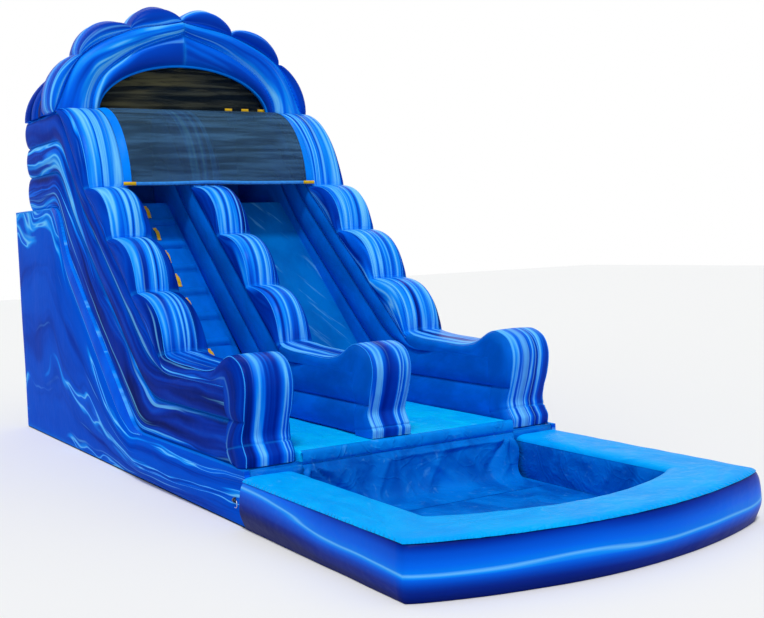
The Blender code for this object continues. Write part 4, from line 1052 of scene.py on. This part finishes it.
def build_rear_panel():
    """Swelling rear panel with upright quilting waves, rounded in at its corners."""
    low, high = SHEET_THICKNESS + CLEARANCE, PLATFORM_HEIGHT - CLEARANCE / 2
    share = np.linspace(0, 1, 34)
    x = INNER_HALF * np.sin(np.linspace(-pi / 2, pi / 2, 90))
    grid_x, grid_z = np.meshgrid(x, low + (high - low) * share)
    inward = np.clip((INNER_HALF - np.abs(x)) / CORNER_ROUND, 0, 1)
    full = REAR_BULGE * np.sin(pi * share)[:, None] * np.sqrt(1 - (1 - inward) ** 2)[None]
    swell = full + 0.010 * ripples(grid_x, grid_z, 21, 12, 1.5, 6) * full / REAR_BULGE
    top = np.stack([grid_x, BASE_LENGTH + np.minimum(swell, full), grid_z], -1)
    fade = beside(share, (0, 1), SEAM_FADE)[:, None]
    fade = np.maximum(beside(x, (-INNER_HALF, INNER_HALF), 0.05)[None], fade)
    panel = sheet_skin("base_panel_rear_skin", top, PANEL_THICKNESS, (0, -1, 0), PANEL, None, fade)


def build_base():
    """Panels, decks, webs and ground sheet."""
    build_side_panels()
    build_rear_panel()
    sheet = softened("ground_sheet", BASE, "base_vinyl", 0.0)
    for node in ("base_panel_front", "platform_deck", "landing_deck"):
        softened(node, SHADED_LINER, "azure_vinyl")
    for index in range(1, 6):
        softened("inner_web_%d" % index, BASE, "base_vinyl", 0.0, 0.3)
    build_mat()
    build_beds()


def build_mat():
    """Landing mat: a shallow air mattress with eased edges and a slack, slightly creased top."""
    low = LANDING_HEIGHT + CLEARANCE
    half = LANE_EDGE - CLEARANCE
    edge = np.array([0, 0.008, 0.02, 0.04, 0.07])
    x = np.concatenate([edge - half, np.linspace(-half + 0.11, half - 0.11, 60), half - edge[::-1]])
    rows = []
    for place in np.linspace(MAT_FRONT, BED_FOOT, 70):
        side = np.sqrt(np.clip(1 - (1 - np.clip((half - abs(x)) / 0.05, 0, 1)) ** 2, 0, 1))
        end = np.sqrt(np.clip(1 - (1 - min((place - MAT_FRONT) / 0.05, 1)) ** 2, 0, 1))
        height = MAT_TOP - 0.03 * (1 - side * (0.3 + 0.7 * end))
        height = height - 0.007 * (1 + ripples(x, place, 31, 14, 3, 16)) * side * end * 0.5
        top = np.column_stack([x, np.full(len(x), place), height])
        bottom = np.column_stack([x, np.full(len(x), place), np.full(len(x), low)])
        rows.append(closed(top, bottom))
    skin("landing_mat_skin", rows, MAT, layered=True, slot="azure_vinyl")


def bed_frame():
    """Direction down a lane bed and square to it, with the bed's top and foot."""
    top, foot = Vector((BED_TOP_EDGE, PLATFORM_HEIGHT)), Vector((BED_FOOT, MAT_TOP))
    along = (foot - top).normalized()
    return along, Vector((along[1], -along[0])), top, foot


def build_beds():
    """Slide bed and climb bed; the climb bed has a tube across it for each step. Painted shade runs along
    the steps' edges and along the sides of both beds.
    """
    along, over, top, foot = bed_frame()
    length = (foot - top).length
    steps = [length - (FIRST_STEP_ALONG + STEP_PITCH * index) for index in range(STEP_COUNT)]
    divider = (DIVIDER_SHIFT - DIVIDER_WIDTH / 2, DIVIDER_SHIFT + DIVIDER_WIDTH / 2)
    for name, ridged, left, right, paint, slot in (
            ("climb_bed", True, -LANE_EDGE, divider[0], LANE, "plain_blue_vinyl"),
            ("slide_bed", False, divider[1], LANE_EDGE, BED, "azure_vinyl")):
        x = np.linspace(left + CLEARANCE, right - CLEARANCE, 30)
        x = np.concatenate([[left - BED_FLANGE], x, [right + BED_FLANGE]])
        inside = np.clip(np.minimum(x - left, right - x) / 0.06, 0, 1)
        round_side = np.sqrt(1 - (1 - inside) ** 2)
        rows, fades = [], []
        for back in np.linspace(0, DECK_FRONT - BED_TOP_EDGE, 12)[:0:-1]:
            z = PLATFORM_HEIGHT - 0.012 * (1 - round_side)
            rows.append(np.column_stack([x, np.full(len(x), BED_TOP_EDGE + back), z]))
            fades.append(np.zeros(len(x)))
        for down in np.arange(0, length, 0.018).tolist() + [length]:
            lift = -0.02 * (1 - round_side) - 0.006 * (1 + ripples(x, down, 41, 12, 3, 15)) * 0.5
            step_shade = 0.0
            if ridged:
                near = min(abs(down - step) for step in steps)
                hump = np.sqrt(max(0.0, 1 - (near / (STEP_LENGTH / 2)) ** 2))
                lift = lift + STEP_HEIGHT * hump * round_side
                # Painted shade along the edges of each step, where it stands out of the bed
                step_shade = peak(near, STEP_LENGTH / 2, 0.012)
            spot = np.array(top) + np.array(along) * down + np.array(over) * lift[:, None]
            rows.append(np.column_stack([x, spot]))
            # Painted shade along the bed's sides, where it meets the walls
            fades.append(np.maximum(step_shade, beside(x, (left, right), SEAM_FADE) * 0.6))
        rows[-1][:, 1] = BED_FOOT + CLEARANCE
        bed = sheet_skin(name + "_skin", rows, 0.045, (0, -over[0], -over[1]), paint, None, fades,
                         slot=slot)


# Tower

def build_back_wall():
    """Three level tubes that close the back of the tower."""
    front, tall = TOWER_REAR - BACK_WALL_DEPTH, TOWER_TOP - PLATFORM_HEIGHT
    share = np.linspace(0, 1, 15)
    swell = np.sin(pi * share) ** CHAMBER_POWER
    fade = beside(share, (0, 1), CHAMBER_FADE)
    levels = OUTER_SEAM_SHARES[0]
    for index, level in enumerate(LEVELS):
        low = PLATFORM_HEIGHT + tall * levels[index] + CLEARANCE / 2
        high = PLATFORM_HEIGHT + tall * levels[index + 1] - CLEARANCE / 2
        z = low + (high - low) * share
        rows = []
        for x in np.linspace(-LANE_EDGE + CLEARANCE, LANE_EDGE - CLEARANCE, 40):
            wave = 0.004 * ripples(x, z, 50 + index, 8, 2, 10) * swell
            rear = TOWER_REAR - SEAM_INSET * (1 - swell) + np.minimum(wave, 0)
            fore = front + SEAM_INSET * (1 - swell)
            rows.append(closed(*(np.column_stack([np.full(len(z), x), y, z]) for y in (rear, fore))))
        tube = skin("back_wall_%s_skin" % level, rows, [MARBLE, LANE], half_picks(rows, 0, 1),
                    closed(fade, fade))


def arch_point(angle):
    """Point (x, z) on the arch opening, from its left foot over the top."""
    return np.array([-ARCH_HALF_WIDTH * cos(angle), ARCH_SPRING + ARCH_RISE * sin(angle)])


def crown_line(share):
    """Point on the crown's scalloped outline, from the middle to its left foot, and the lobe's height."""
    lobe = min(int(share * LOBE_COUNT), LOBE_COUNT - 1)
    within = share * LOBE_COUNT - lobe
    start, end = (np.array([-a * HALF_WIDTH, ARCH_SPRING + b * CROWN_HEIGHT])
                  for a, b in (CROWN_VALLEYS[lobe], CROWN_VALLEYS[lobe + 1]))
    chord = end - start
    outward = np.array([chord[1], -chord[0]]) / np.linalg.norm(chord)
    height = CROWN_LOBES[lobe] * CROWN_HEIGHT * sin(pi * within) ** 0.62
    return start + chord * within + outward * height, height


def crown_section(share, sweep):
    """Loop around one half of the crown, with the points of its arch and sweep welts."""
    across = np.linspace(0, 1, 13)[:-1]
    edge, thick = crown_line(share)
    inner = arch_point(pi / 2 * (1 - share))
    sink = 0.018 + 0.03 * min(1.0, share * 6) * (1 - share)
    inward = (inner - sweep) / np.linalg.norm(inner - sweep)
    crease = inner + (sweep - inner) * (0.72 - 0.60 * share ** 0.8)
    top = sweep + inward * sink
    loop = []
    for first, last, swell in ((inner, crease, 0.070), (crease, top, 0.100),
                               (top, edge, 0.030 + 0.25 * thick)):
        spots = first + (last - first) * across[:, None]
        depth = CROWN_FACE - min(swell, 0.092) * np.sin(pi * across) ** 0.6
        loop += zip(spots[:, 0], depth, spots[:, 1])
    plump = edge - inward * (0.012 + 0.10 * thick)
    soft = edge + inward * 0.05
    under = inner - inward * 0.02
    # From the front edge over the plump outside and the flat back to the inside of the arch
    back = CROWN_FRONT + CROWN_DEPTH
    near, far = CROWN_FRONT + 0.02, back - 0.02
    outside = [(plump, CROWN_FRONT + CROWN_DEPTH * deep) for deep in (0.25, 0.5, 0.75)]
    for spot, depth in ((edge, near), *outside, (edge, far), (soft, back), (crease, back), (under, back),
                        (inner, far), (inner, near)):
        loop.append((spot[0], depth, spot[1]))
    return np.array(loop), inner, crease


def build_crown():
    """Two halves of the canopy's front: arch tube, swept tube and three scalloped pillows each."""
    count = 91
    shares = np.linspace(0, 1, count)
    swept = curve(CROWN_VALLEYS, count)
    limit = -CLEARANCE / 2
    for side, sign in (("left", 1), ("right", -1)):
        rows, seams, welt, stitches = [], [], [], []
        for step in range(count):
            share = step / (count - 1)
            out, up = (float(np.interp(share, shares, swept[:, axis])) for axis in (0, 1))
            sweep = np.array([-HALF_WIDTH * out, ARCH_SPRING + CROWN_HEIGHT * up])
            loop, inner, crease = crown_section(share, sweep)
            loop[:, 0] = sign * (np.minimum(loop[:, 0], limit) if step else limit)
            rows.append(loop)
            fade = np.zeros(len(loop))
            fade[[0, 12, 24]] = 1
            fade[[1, 11, 13, 23, 25]] = 0.5
            valleys = beside(share, (1 / 3, 2 / 3), 0.012) * (np.arange(len(loop)) > 22)
            seams.append(np.maximum(np.maximum(fade, peak(share, 0, 0.02)), valleys))
            welt.append((min(inner[0], -0.001) * sign, CROWN_FACE, inner[1] + 0.004))
            stitches.append((min(crease[0], -0.004) * sign, CROWN_FRONT - 0.014, crease[1]))
        skin("crown_%s_skin" % side, rows, CROWN, None, seams)
        piping("crown_%s_arch_welt" % side, [welt], 0.020, SKIRT)
        piping("crown_%s_sweep_welt" % side, [stitches[1:]], WELT_RADIUS, WELT)


def build_hoops():
    """Arched tubes that roof the platform."""
    depth = np.sin(np.linspace(-pi / 2, pi / 2, 13))
    bulge = np.clip(1 - np.abs(depth) ** 2.6, 0, 1) ** (1 / 2.2)
    half = HOOP_DEPTH / 2 - CLEARANCE / 2
    rise = HOOP_TOP - ARCH_SPRING
    fade = beside(depth, (-1, 1), 0.12)
    for index in range(HOOP_COUNT):
        y = CROWN_FRONT + CROWN_DEPTH + CLEARANCE + HOOP_DEPTH * (index + 0.5) + half * depth
        rows = []
        for step in range(73):
            angle = pi * step / 72
            outer = np.array([-HALF_WIDTH * cos(angle), ARCH_SPRING + rise * sin(angle)])
            inner = arch_point(angle)
            thin = 0.055 / np.linalg.norm(outer - inner)
            wave = min(1.0, 1 + 0.02 * float(ripples(angle * 1.5, index * 2.0, 60, 8, 2, 9)))
            high = inner + (outer - inner) * ((1 - thin) + thin * bulge * wave)[:, None]
            low = inner + (outer - inner) * (thin * (1 - bulge))[:, None]
            rows.append(closed(*(np.column_stack([face[:, 0], y, face[:, 1]]) for face in (high, low))))
        name = "canopy_hoop_%d_skin" % (index + 1)
        hoop = skin(name, rows, [MARBLE, LANE], half_picks(rows, 0, 1), closed(fade, fade))


# Nets, tapes and straps

def node_centre(node):
    """Middle of a solid's box, with Y counted from the seam of the slide and the pool."""
    low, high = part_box(node)
    return (low.x + high.x) / 2, (low.y + high.y) / 2 - SEAM_Y, (low.z + high.z) / 2


def strap(node, line, width, thickness, aside, paint, slot="yellow_webbing"):
    """Flat webbing along a line, which stands for a node; aside is the direction of its width."""
    line = np.asarray(line, float)
    aside = np.asarray(aside, float)
    along = np.gradient(line, axis=0)
    along /= np.linalg.norm(along, axis=1)[:, None]
    up = np.cross(along, aside)
    up /= np.linalg.norm(up, axis=1)[:, None]
    rows = [[spot + aside * width * a + lift * thickness * b for a, b in STRAP_SECTION]
            for spot, lift in zip(line, up)]
    return skin(node + "_skin", rows, paint, slot=slot)


def spring_arch(share):
    """Height of a springy arch, 1 in the middle and 0 from share 1 on."""
    return cos(pi / 2 * share) ** 0.8 if share < 1 else 0.0


def net_line():
    """Side-view line of the shoulder net, from inside the arch down to its hem."""
    start = (CAP_START, TOWER_TOP + CAP_START_THICKNESS)
    path = [(CROWN_FRONT + NET_INSET_FROM_FRONT, start[1])] + quarter(start, lobe_creases()[0], 2.0)
    return at(path, reach(path), np.linspace(0, reach(path)[-1] - 0.006, 48))


def build_bindings(line):
    """Blue strips that bind the shoulder net to the caps beside it."""
    low, high = cap_lines(TOWER_REAR, OUTER_SEAM_SHARES, 3, LANDING_HEIGHT + CLEARANCE)[:2]
    line = line[line[:, 0] < CAP_START]
    share = np.linspace(0, 1, 7)
    for side, sign in (("left", -1), ("right", 1)):
        rows = []
        for spot in line:
            nearest = int(np.argmin(np.linalg.norm(high - spot, axis=1)))
            drop = (low[nearest] - high[nearest]) * 0.110 * share[:, None] ** 1.4
            out = NET_HALF_WIDTH - 0.006 + BINDING_WIDTH * share
            lift = NET_LIFT + 0.004 - 0.008 * share
            rows.append(np.column_stack([sign * out, spot + drop + lift[:, None] * NET_OUTWARD[1:]]))
        fade = np.broadcast_to(beside(share, (0, 1), 0.12), (len(rows), len(share)))
        piece = sheet_skin("net_binding_" + side, rows, 0.002, NET_OUTWARD, SKIRT, None, fade)


def build_shoulder_net(line):
    """Net over the shoulder between the walls, with its hem tape."""
    low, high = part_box("net_hem_tape")
    _, depth, height = node_centre("net_hem_tape")
    x = np.linspace(low.x, high.x, 60)
    rise = 0.012 * np.exp(-((x - DIVIDER_SHIFT) / 0.35) ** 2)
    hem = np.column_stack([x, np.full(60, depth), height + rise])
    strap("net_hem_tape", hem, TAPE_WIDTH, TAPE_THICKNESS, (0, 0, 1), TAPE, "light_blue_tape")
    far = reach(line)
    x = np.linspace(-NET_HALF_WIDTH, NET_HALF_WIDTH, 60)
    slack = np.sin(pi * np.linspace(0, 1, 60)) ** 0.5
    rows = []
    for index, (y, z) in enumerate(line):
        ease = max(0.0, sin(pi * index / 47)) ** 0.5
        sag = NET_LIFT + 0.004 * (1 + ripples(x * 0.5, far[index] * 2.2, 71, 10, 6, 20)) * slack * ease
        rows.append(np.column_stack([x, y + sag * NET_OUTWARD[1], z + sag * NET_OUTWARD[2]]))
    net = sheet_skin("net_shoulder_skin", rows, NET_SKIN, NET_OUTWARD, SHOULDER_NET, slot="black_net")


def build_arch_nets():
    """Upright nets in the front and the back of the arch."""
    slack = np.sin(pi * np.linspace(0, 1, 50))
    for name, rests_on in (("net_arch_front", "crown_left_skin"), ("net_arch_back", "canopy_hoop_3_skin")):
        depth = node_centre(name)[1]
        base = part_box(name)[0].z - ARCH_SPRING
        rows = []
        for share in np.linspace(0, 1, 40):
            z = base + (ARCH_RISE - 0.004 - base) * share
            wide = (ARCH_HALF_WIDTH - 0.002) * np.sqrt(max(0.0, 1 - (z / (ARCH_RISE - 0.001)) ** 2))
            x = np.linspace(-wide, wide, 50)
            wave = 0.004 * ripples(x * 0.4, z * 4.0, 81, 10, 4, 14) * slack
            rows.append(np.column_stack([x, depth + wave, np.full(50, ARCH_SPRING + z)]))
        net = sheet_skin(name + "_skin", rows, NET_SKIN, (0, 1, 0), NET, slot="black_net")


def build_nets():
    """Safety nets over the shoulders and in both arches, with hem tape, bindings, tags and ties."""
    line = net_line()
    build_shoulder_net(line)
    build_bindings(line)
    for node in ("net_tag_left", "net_tag_right", "net_tie_1", "net_tie_2", "net_tie_3"):
        low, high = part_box(node)
        _, depth, height = node_centre(node)
        bend = 0.003 * np.sin(np.linspace(0, pi, 12))
        lift = 0.016 if "tie" in node else 0.0
        x = np.linspace(low.x, high.x, 12)
        line = np.column_stack([x, depth - bend - lift, np.full(12, height + lift)])
        strap(node, line, TAPE_WIDTH, TAPE_THICKNESS, (0, 0, 1), STRAP)
    build_arch_nets()


def build_handles():
    """Yellow webbing handles of the climb lane, sewn flat at both ends."""
    along, over, _, foot = bed_frame()
    for index in range(STEP_COUNT):
        node = "climb_handle_%d" % (index + 1)
        x = node_centre(node)[0]
        centre = foot - along * (FIRST_STEP_ALONG + STEP_PITCH * (index - 0.5))
        line = []
        for share in np.linspace(-1, 1, 29):
            run = share * HANDLE_REACH
            hump = HANDLE_RISE * spring_arch(abs(run) / HANDLE_GRIP)
            line.append((x, *(centre + along * run + over * (0.004 + hump))))
        strap(node, line, *HANDLE_SIZE, (1, 0, 0), STRAP)
        stitches = [[(x + aside, *(centre + along * (end * 0.092 + run) + over * 0.0075))
                     for run in (-0.012, 0.0, 0.012)] for end in (-1, 1) for aside in (-0.016, 0.016)]
        piping(node + "_stitches", stitches, 0.0012, SKIRT, 5, "yellow_webbing")


# Pool

def pool_path(inset):
    """Plan line of the pool rim, inset from its outer edge, from the left seam round to the right."""
    side, end = HALF_WIDTH - inset, -POOL_LENGTH + inset
    runs = np.linspace(0, 1, 28)
    line = [(-side, end * share) for share in runs]
    for step in range(1, 64):
        share = step / 64
        bow = POOL_BOW * sin(pi * share) ** 0.8
        line.append((-side + 2 * side * share, -POOL_LENGTH - bow + inset))
    line += [(side, end * share) for share in runs[::-1]]
    return np.array(line)


def rim_spots(inner, outer, section):
    """Points of a section between the inner and the outer plan line at one place."""
    wide = np.linalg.norm(outer - inner)
    away = (outer - inner) / wide
    across = wide * section[:, 0] + RIM_SWELL * section[:, 1]
    height = CLEARANCE + (RIM_HEIGHT - CLEARANCE) * np.clip(section[:, 2], 0, 1)
    return np.column_stack([inner + away * across[:, None], height])


def outward_of(section):
    """Direction square to one cross-section at each of its points."""
    run = np.gradient(section, axis=0)
    out = section[-1, :2] - section[0, :2]
    out = out / np.linalg.norm(out)
    level = run[:, :2] @ out
    normal = np.column_stack([-run[:, 2:3] * out[None, :], level[:, None]])
    return normal / np.linalg.norm(normal, axis=1)[:, None]


def build_rim():
    """Swelling rim of the pool in one piece, and the loose cover over its top."""
    outer, inner = pool_path(0.0), pool_path(RIM_WIDTH)
    far = reach(outer)
    section = curve(RIM_SECTION, 56)
    count = len(section)
    top = section[COVER_COLUMNS]
    share = np.linspace(0, 1, len(top))
    hem = np.clip((share - 0.86) / 0.14, 0, 1)
    rows, covers = [], []
    for index in range(len(outer)):
        spots = rim_spots(inner[index], outer[index], section)
        wave = np.minimum(0.006 * ripples(far[index], np.arange(count) * 0.025, 91, 10, 2, 12), 0)
        middle = spots.mean(0)
        rows.append(spots + (middle - spots) * (-wave / 0.25)[:, None] * np.array([1, 1, 0]))
        over = rim_spots(inner[index], outer[index], top)
        outward = outward_of(over)
        ruffle = (0.7 + 0.3 * sin(far[index] * 88 + 3 * sin(far[index] * 7))) * hem
        slack = 0.0035 * (1 + ripples(far[index], share * 0.6, 92, 14, 4, 26))
        slack = slack * np.sin(pi * share) ** 0.4
        cover = over + outward * (CLEARANCE + 0.003) + outward * (slack + 0.009 * ruffle)[:, None]
        covers.append(closed(cover, cover - outward * 0.0025))
    picks = np.zeros((len(rows) - 1, count), int)
    picks[:, :COVER_COLUMNS.start + 1] = 1
    rim = skin("pool_rim_skin", rows, [RIM, SHADED_LINER], picks, body="pool", shift=5.3,
               stands_for=("pool_rim_left", "pool_rim_front", "pool_rim_right"))
    cover = skin("pool_cover_skin", covers, POOL_COVER, None, closed(hem, hem), layered=True,
                 slot="azure_vinyl", body="pool")
    width = float(reach(rim_spots(inner[40], outer[40], top))[-1])


def build_pool_floor():
    """Slack floor sheet between the rims, with a few soft folds."""
    half = HALF_WIDTH - RIM_WIDTH
    x = np.linspace(-half + 0.008, half - 0.008, 90)
    bow = POOL_BOW * np.sin(pi * np.clip((x + half) / (2 * half), 0, 1)) ** 0.8
    depth = POOL_LENGTH + bow - RIM_WIDTH - 0.01
    rows = []
    for share in np.linspace(0, 1, 90):
        y = -CLEARANCE - share * depth
        edge = np.clip(np.minimum(1 - abs(x) / half, 1 - share) / 0.08, 0, 1)
        fold = 1 - np.abs(np.sin(ripples(x * 0.6, y * 0.9, 93, 8, 2, 7) * 4.5)) ** 0.7
        fold = 0.014 * fold * edge * eased(-y, APRON_REACH + 0.02, APRON_REACH + 0.3)
        climb = 0.020 * (1 - edge) ** 2
        rows.append(np.column_stack([x, y, POOL_FLOOR_THICKNESS + 0.001 + fold + climb]))
    floor = sheet_skin("pool_floor_skin", rows, 0.004, (0, 0, -1), SHADED_LINER, slot="azure_vinyl",
                       body="pool")


def build_apron():
    """Loose sheet that rolls over the landing's front edge and hangs in folds to the pool floor."""
    half = HALF_WIDTH - RIM_WIDTH - RIM_SWELL
    floor = POOL_FLOOR_THICKNESS + CLEARANCE
    roll = curve([(0.026, MAT_TOP + 0.001), (0.008, 0.599), (-0.014, 0.582), (-0.022, 0.545),
                  (-0.018, 0.508), (-0.002, 0.480)], 26)
    hang = curve([(-0.002, 0.480), (-0.016, 0.455), (-0.030, 0.40), (-0.036, 0.30), (-0.046, 0.18),
                  (-0.075, 0.095), (-0.145, 0.045), (-0.26, floor + 0.010),
                  (-APRON_REACH, floor + 0.002)], 70)
    line = np.vstack([roll, hang[1:]])
    last = len(roll) - 1
    far = reach(line)
    x = np.linspace(-half, half, 150)
    rows, fades = [], []
    for index, (y, z) in enumerate(line):
        place = far[index]
        loose, rolled = 0.0, 0.0
        if index > last:
            loose = float(eased(place, far[last], far[last] + 0.10))
        else:
            rolled = 0.004 * ripples(x * 1.1, place, 98, 12, 3, 14) * sin(pi * index / last)
        settled = float(eased(-y, 0.06, APRON_REACH))
        sweep = x * 4.2 + place * 3.0 + 1.2 * np.sin(x * 1.7 + 1.0)
        ridge = (1 - np.abs(np.sin(sweep))) ** 2.0
        ridge = ridge + 0.6 * (1 - np.abs(np.sin(x * 3.1 - place * 4.0 + 0.8))) ** 3.0
        push = 0.036 * ridge + 0.004 * ripples(x * 1.3, place * 1.6, 97, 12, 6, 22)
        push = push + 0.030 * peak(z, 0.425, 0.022) * eased(x, -0.35, 0.10) * eased(-x, -1.2, -0.9)
        for corner in (-CORNER_FOLD, CORNER_FOLD):
            away, down = x - corner, 0.50 - z
            pleat = np.abs(np.sin(np.arctan2(away, max(down, 0.01)) * 4.5)) ** 0.7 - 0.5
            fading = np.exp(-np.hypot(away, down) / 0.30)
            push = push + 0.085 * pleat * fading * eased(down, 0.0, 0.10)
        push = np.maximum(push, -0.01) * loose * (1 - settled)
        y = y - push * (1 - settled) - rolled
        rows.append(np.column_stack([x, y, z + push * (0.2 + 0.6 * settled)]))
        fades.append(np.full(len(x), peak(index, last, 1.6)))
    picks = np.zeros((len(rows) - 1, len(x) - 1), int)
    # The rolled top takes the lighter paint as painted light, and the hanging part takes the shaded liner
    picks[:last] = 1
    apron = sheet_skin("landing_apron_skin", rows, 0.003, (0, -0.7, 0.7), [SHADED_LINER, LIT_ROLL], picks, fades,
                       slot="azure_vinyl")


# Fittings

def build_sleeve():
    """Limp fabric sleeve that takes the blower, with a cuff near its end."""
    low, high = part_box("inflation_sleeve")
    centre_x, _, centre_z = node_centre("inflation_sleeve")
    radius = (high.x - low.x) / 2
    turns = np.linspace(0, 2 * pi, 49)[:-1]
    outer, inner = [], []
    for share in np.linspace(0, 1, 40):
        limp = 0.012 * share * np.sin(turns * 7 + 2 * np.sin(share * 5))
        limp = limp + 0.006 * np.sin(turns * 3 + share * 6)
        cuff = 0.004 * np.exp(-((share - 0.93) / 0.03) ** 2)
        size = radius - 0.012 + np.minimum(limp, 0.008) * (0.3 + 0.7 * share) + cuff
        y = np.full(len(turns), low.y + (high.y - low.y) * share - SEAM_Y)
        for loops, scale in ((outer, 1.0), (inner, 0.975)):
            loops.append(np.column_stack([centre_x + size * np.cos(turns) * scale, y,
                                          centre_z + size * np.sin(turns) * scale]))
    sleeve = skin("inflation_sleeve_skin", closed(outer, inner), MARBLE, ring=True)


def build_flap():
    """Flap that hangs over the deflation port."""
    low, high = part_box("deflation_flap")
    x = np.linspace(low.x, high.x, 30)
    z = np.linspace(low.z + 0.002, high.z - 0.008, 20)
    tall = high.z - low.z
    rows = []
    for height in z:
        share = (high.z - height) / tall
        wave = 0.003 * np.sin(x * 14 + share * 3) * share
        depth = high.y - 0.006 - (high.y - low.y - 0.009) * share + wave
        rows.append(np.column_stack([x, depth - SEAM_Y, np.full(30, height)]))
    fade = beside(z, (low.z, high.z), SEAM_FADE)[:, None]
    fade = np.maximum(beside(x, (low.x, high.x), SEAM_FADE)[None], fade)
    flap = sheet_skin("deflation_flap_skin", rows, 0.003, (0, 1, 0), PANEL, None, fade,
                      body="deflation_flap_body")


def build_anchor():
    """Webbing loop on the side of the base, with its welded steel ring."""
    _, y, z = node_centre("anchor_loop")
    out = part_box("anchor_loop")[1].x - 0.0035
    line = [(out - 0.028 * spring_arch(abs(run) / 0.025), y, z + run)
            for run in np.linspace(-1, 1, 25) * 0.06]
    strap("anchor_loop", line, 0.04, 0.006, (0, 1, 0), DARK_STRAP, "base_vinyl")
    low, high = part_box("anchor_ring")
    middle = np.array(node_centre("anchor_ring"))
    radius = (high.z - low.z) / 2 - 0.004
    side = np.eye(3)[int(np.argmin(np.array(high - low)))]
    level = np.array([side[1], side[0], 0])
    rows = []
    for turn in np.linspace(0, 2 * pi, 65)[:-1]:
        out = level * sin(turn) + np.array([0, 0, cos(turn)])
        wire = 0.0038 + 0.0009 * peak(turn, 2.4, 0.09)
        rows.append([middle + out * (radius + wire * cos(a)) + side * (wire * sin(a))
                     for a in np.linspace(0, 2 * pi, 15)[:-1]])
    skin("anchor_ring_skin", rows, STEEL, slot="plated_steel", body="anchor_ring_body", ring=True)


# Studio

def build_floor():
    """Pale floor under the slide."""
    bpy.ops.mesh.primitive_plane_add(size=90)
    ground = bpy.context.object
    ground.name = "ground"
    ground.location = (0, 0, -0.004)
    floor = Finish("pale_floor", 0.9)
    floor.set("Base Color", (0.90, 0.90, 0.90))
    ground.data.materials.append(floor.material)


def build_surroundings(scene):
    """Soft bluish light from all sides, which the camera, gloss and glass see as plain white."""
    scene.world = bpy.data.worlds.new("studio")
    scene.world.use_nodes = True
    graph = Graph(scene.world.node_tree)
    graph.tree.nodes.clear()
    seen = None
    for ray in ("Is Camera Ray", "Is Glossy Ray", "Is Transmission Ray"):
        found = graph.node("ShaderNodeLightPath", out=ray)
        seen = found if seen is None else seen.math("MAXIMUM", found)
    dome = graph.node("ShaderNodeBackground", None, {"Color": (0.93, 0.96, 1.0), "Strength": 0.52})
    backdrop = graph.node("ShaderNodeBackground", None, {"Color": (1.0, 1.0, 1.0), "Strength": 1.0})
    shown = graph.node("ShaderNodeMixShader", None, {0: seen, 1: dome, 2: backdrop})
    graph.node("ShaderNodeOutputWorld", None, {"Surface": shown})


def build_lamps(scene):
    """Soft key light from above and a weak fill from the side."""
    for name, turn, energy, soft in (("key", (28, -14, -8), 1.85, 12), ("fill", (62, 0, -70), 0.15, 40)):
        lamp = bpy.data.lights.new(name, "SUN")
        lamp.energy = energy
        lamp.angle = radians(soft)
        lamp.color = (1.0, 0.99, 0.96)
        light = bpy.data.objects.new(name, lamp)
        light.rotation_euler = [radians(angle) for angle in turn]
        scene.collection.objects.link(light)


def build_camera(scene):
    """Camera where the photograph was taken from."""
    yaw, pitch, roll = (radians(angle) for angle in CAMERA_TURN)
    forward = Vector((sin(yaw) * cos(pitch), cos(yaw) * cos(pitch), sin(pitch)))
    right = Vector((cos(yaw), -sin(yaw), 0))
    up = right.cross(forward)
    across = right * cos(roll) + up * sin(roll)
    upright = up * cos(roll) - right * sin(roll)
    camera = bpy.data.cameras.new("camera")
    camera.lens = CAMERA_LENS
    camera.sensor_width = 36
    camera.sensor_fit = "HORIZONTAL"
    viewer = bpy.data.objects.new("camera", camera)
    viewer.matrix_world = Matrix([(across[axis], upright[axis], -forward[axis], CAMERA_SPOT[axis])
                                  for axis in range(3)] + [(0, 0, 0, 1)])
    scene.collection.objects.link(viewer)
    scene.camera = viewer


def build_studio():
    """Floor, surroundings, lamps and camera."""
    scene = bpy.context.scene
    build_floor()
    build_surroundings(scene)
    build_lamps(scene)
    build_camera(scene)
    scene.view_settings.view_transform = "Standard"


for build in (build_base, build_walls, build_back_wall, build_crown, build_hoops, build_nets,
              build_handles, build_rim, build_pool_floor, build_apron, build_sleeve, build_flap,
              build_anchor, build_studio):
    build()
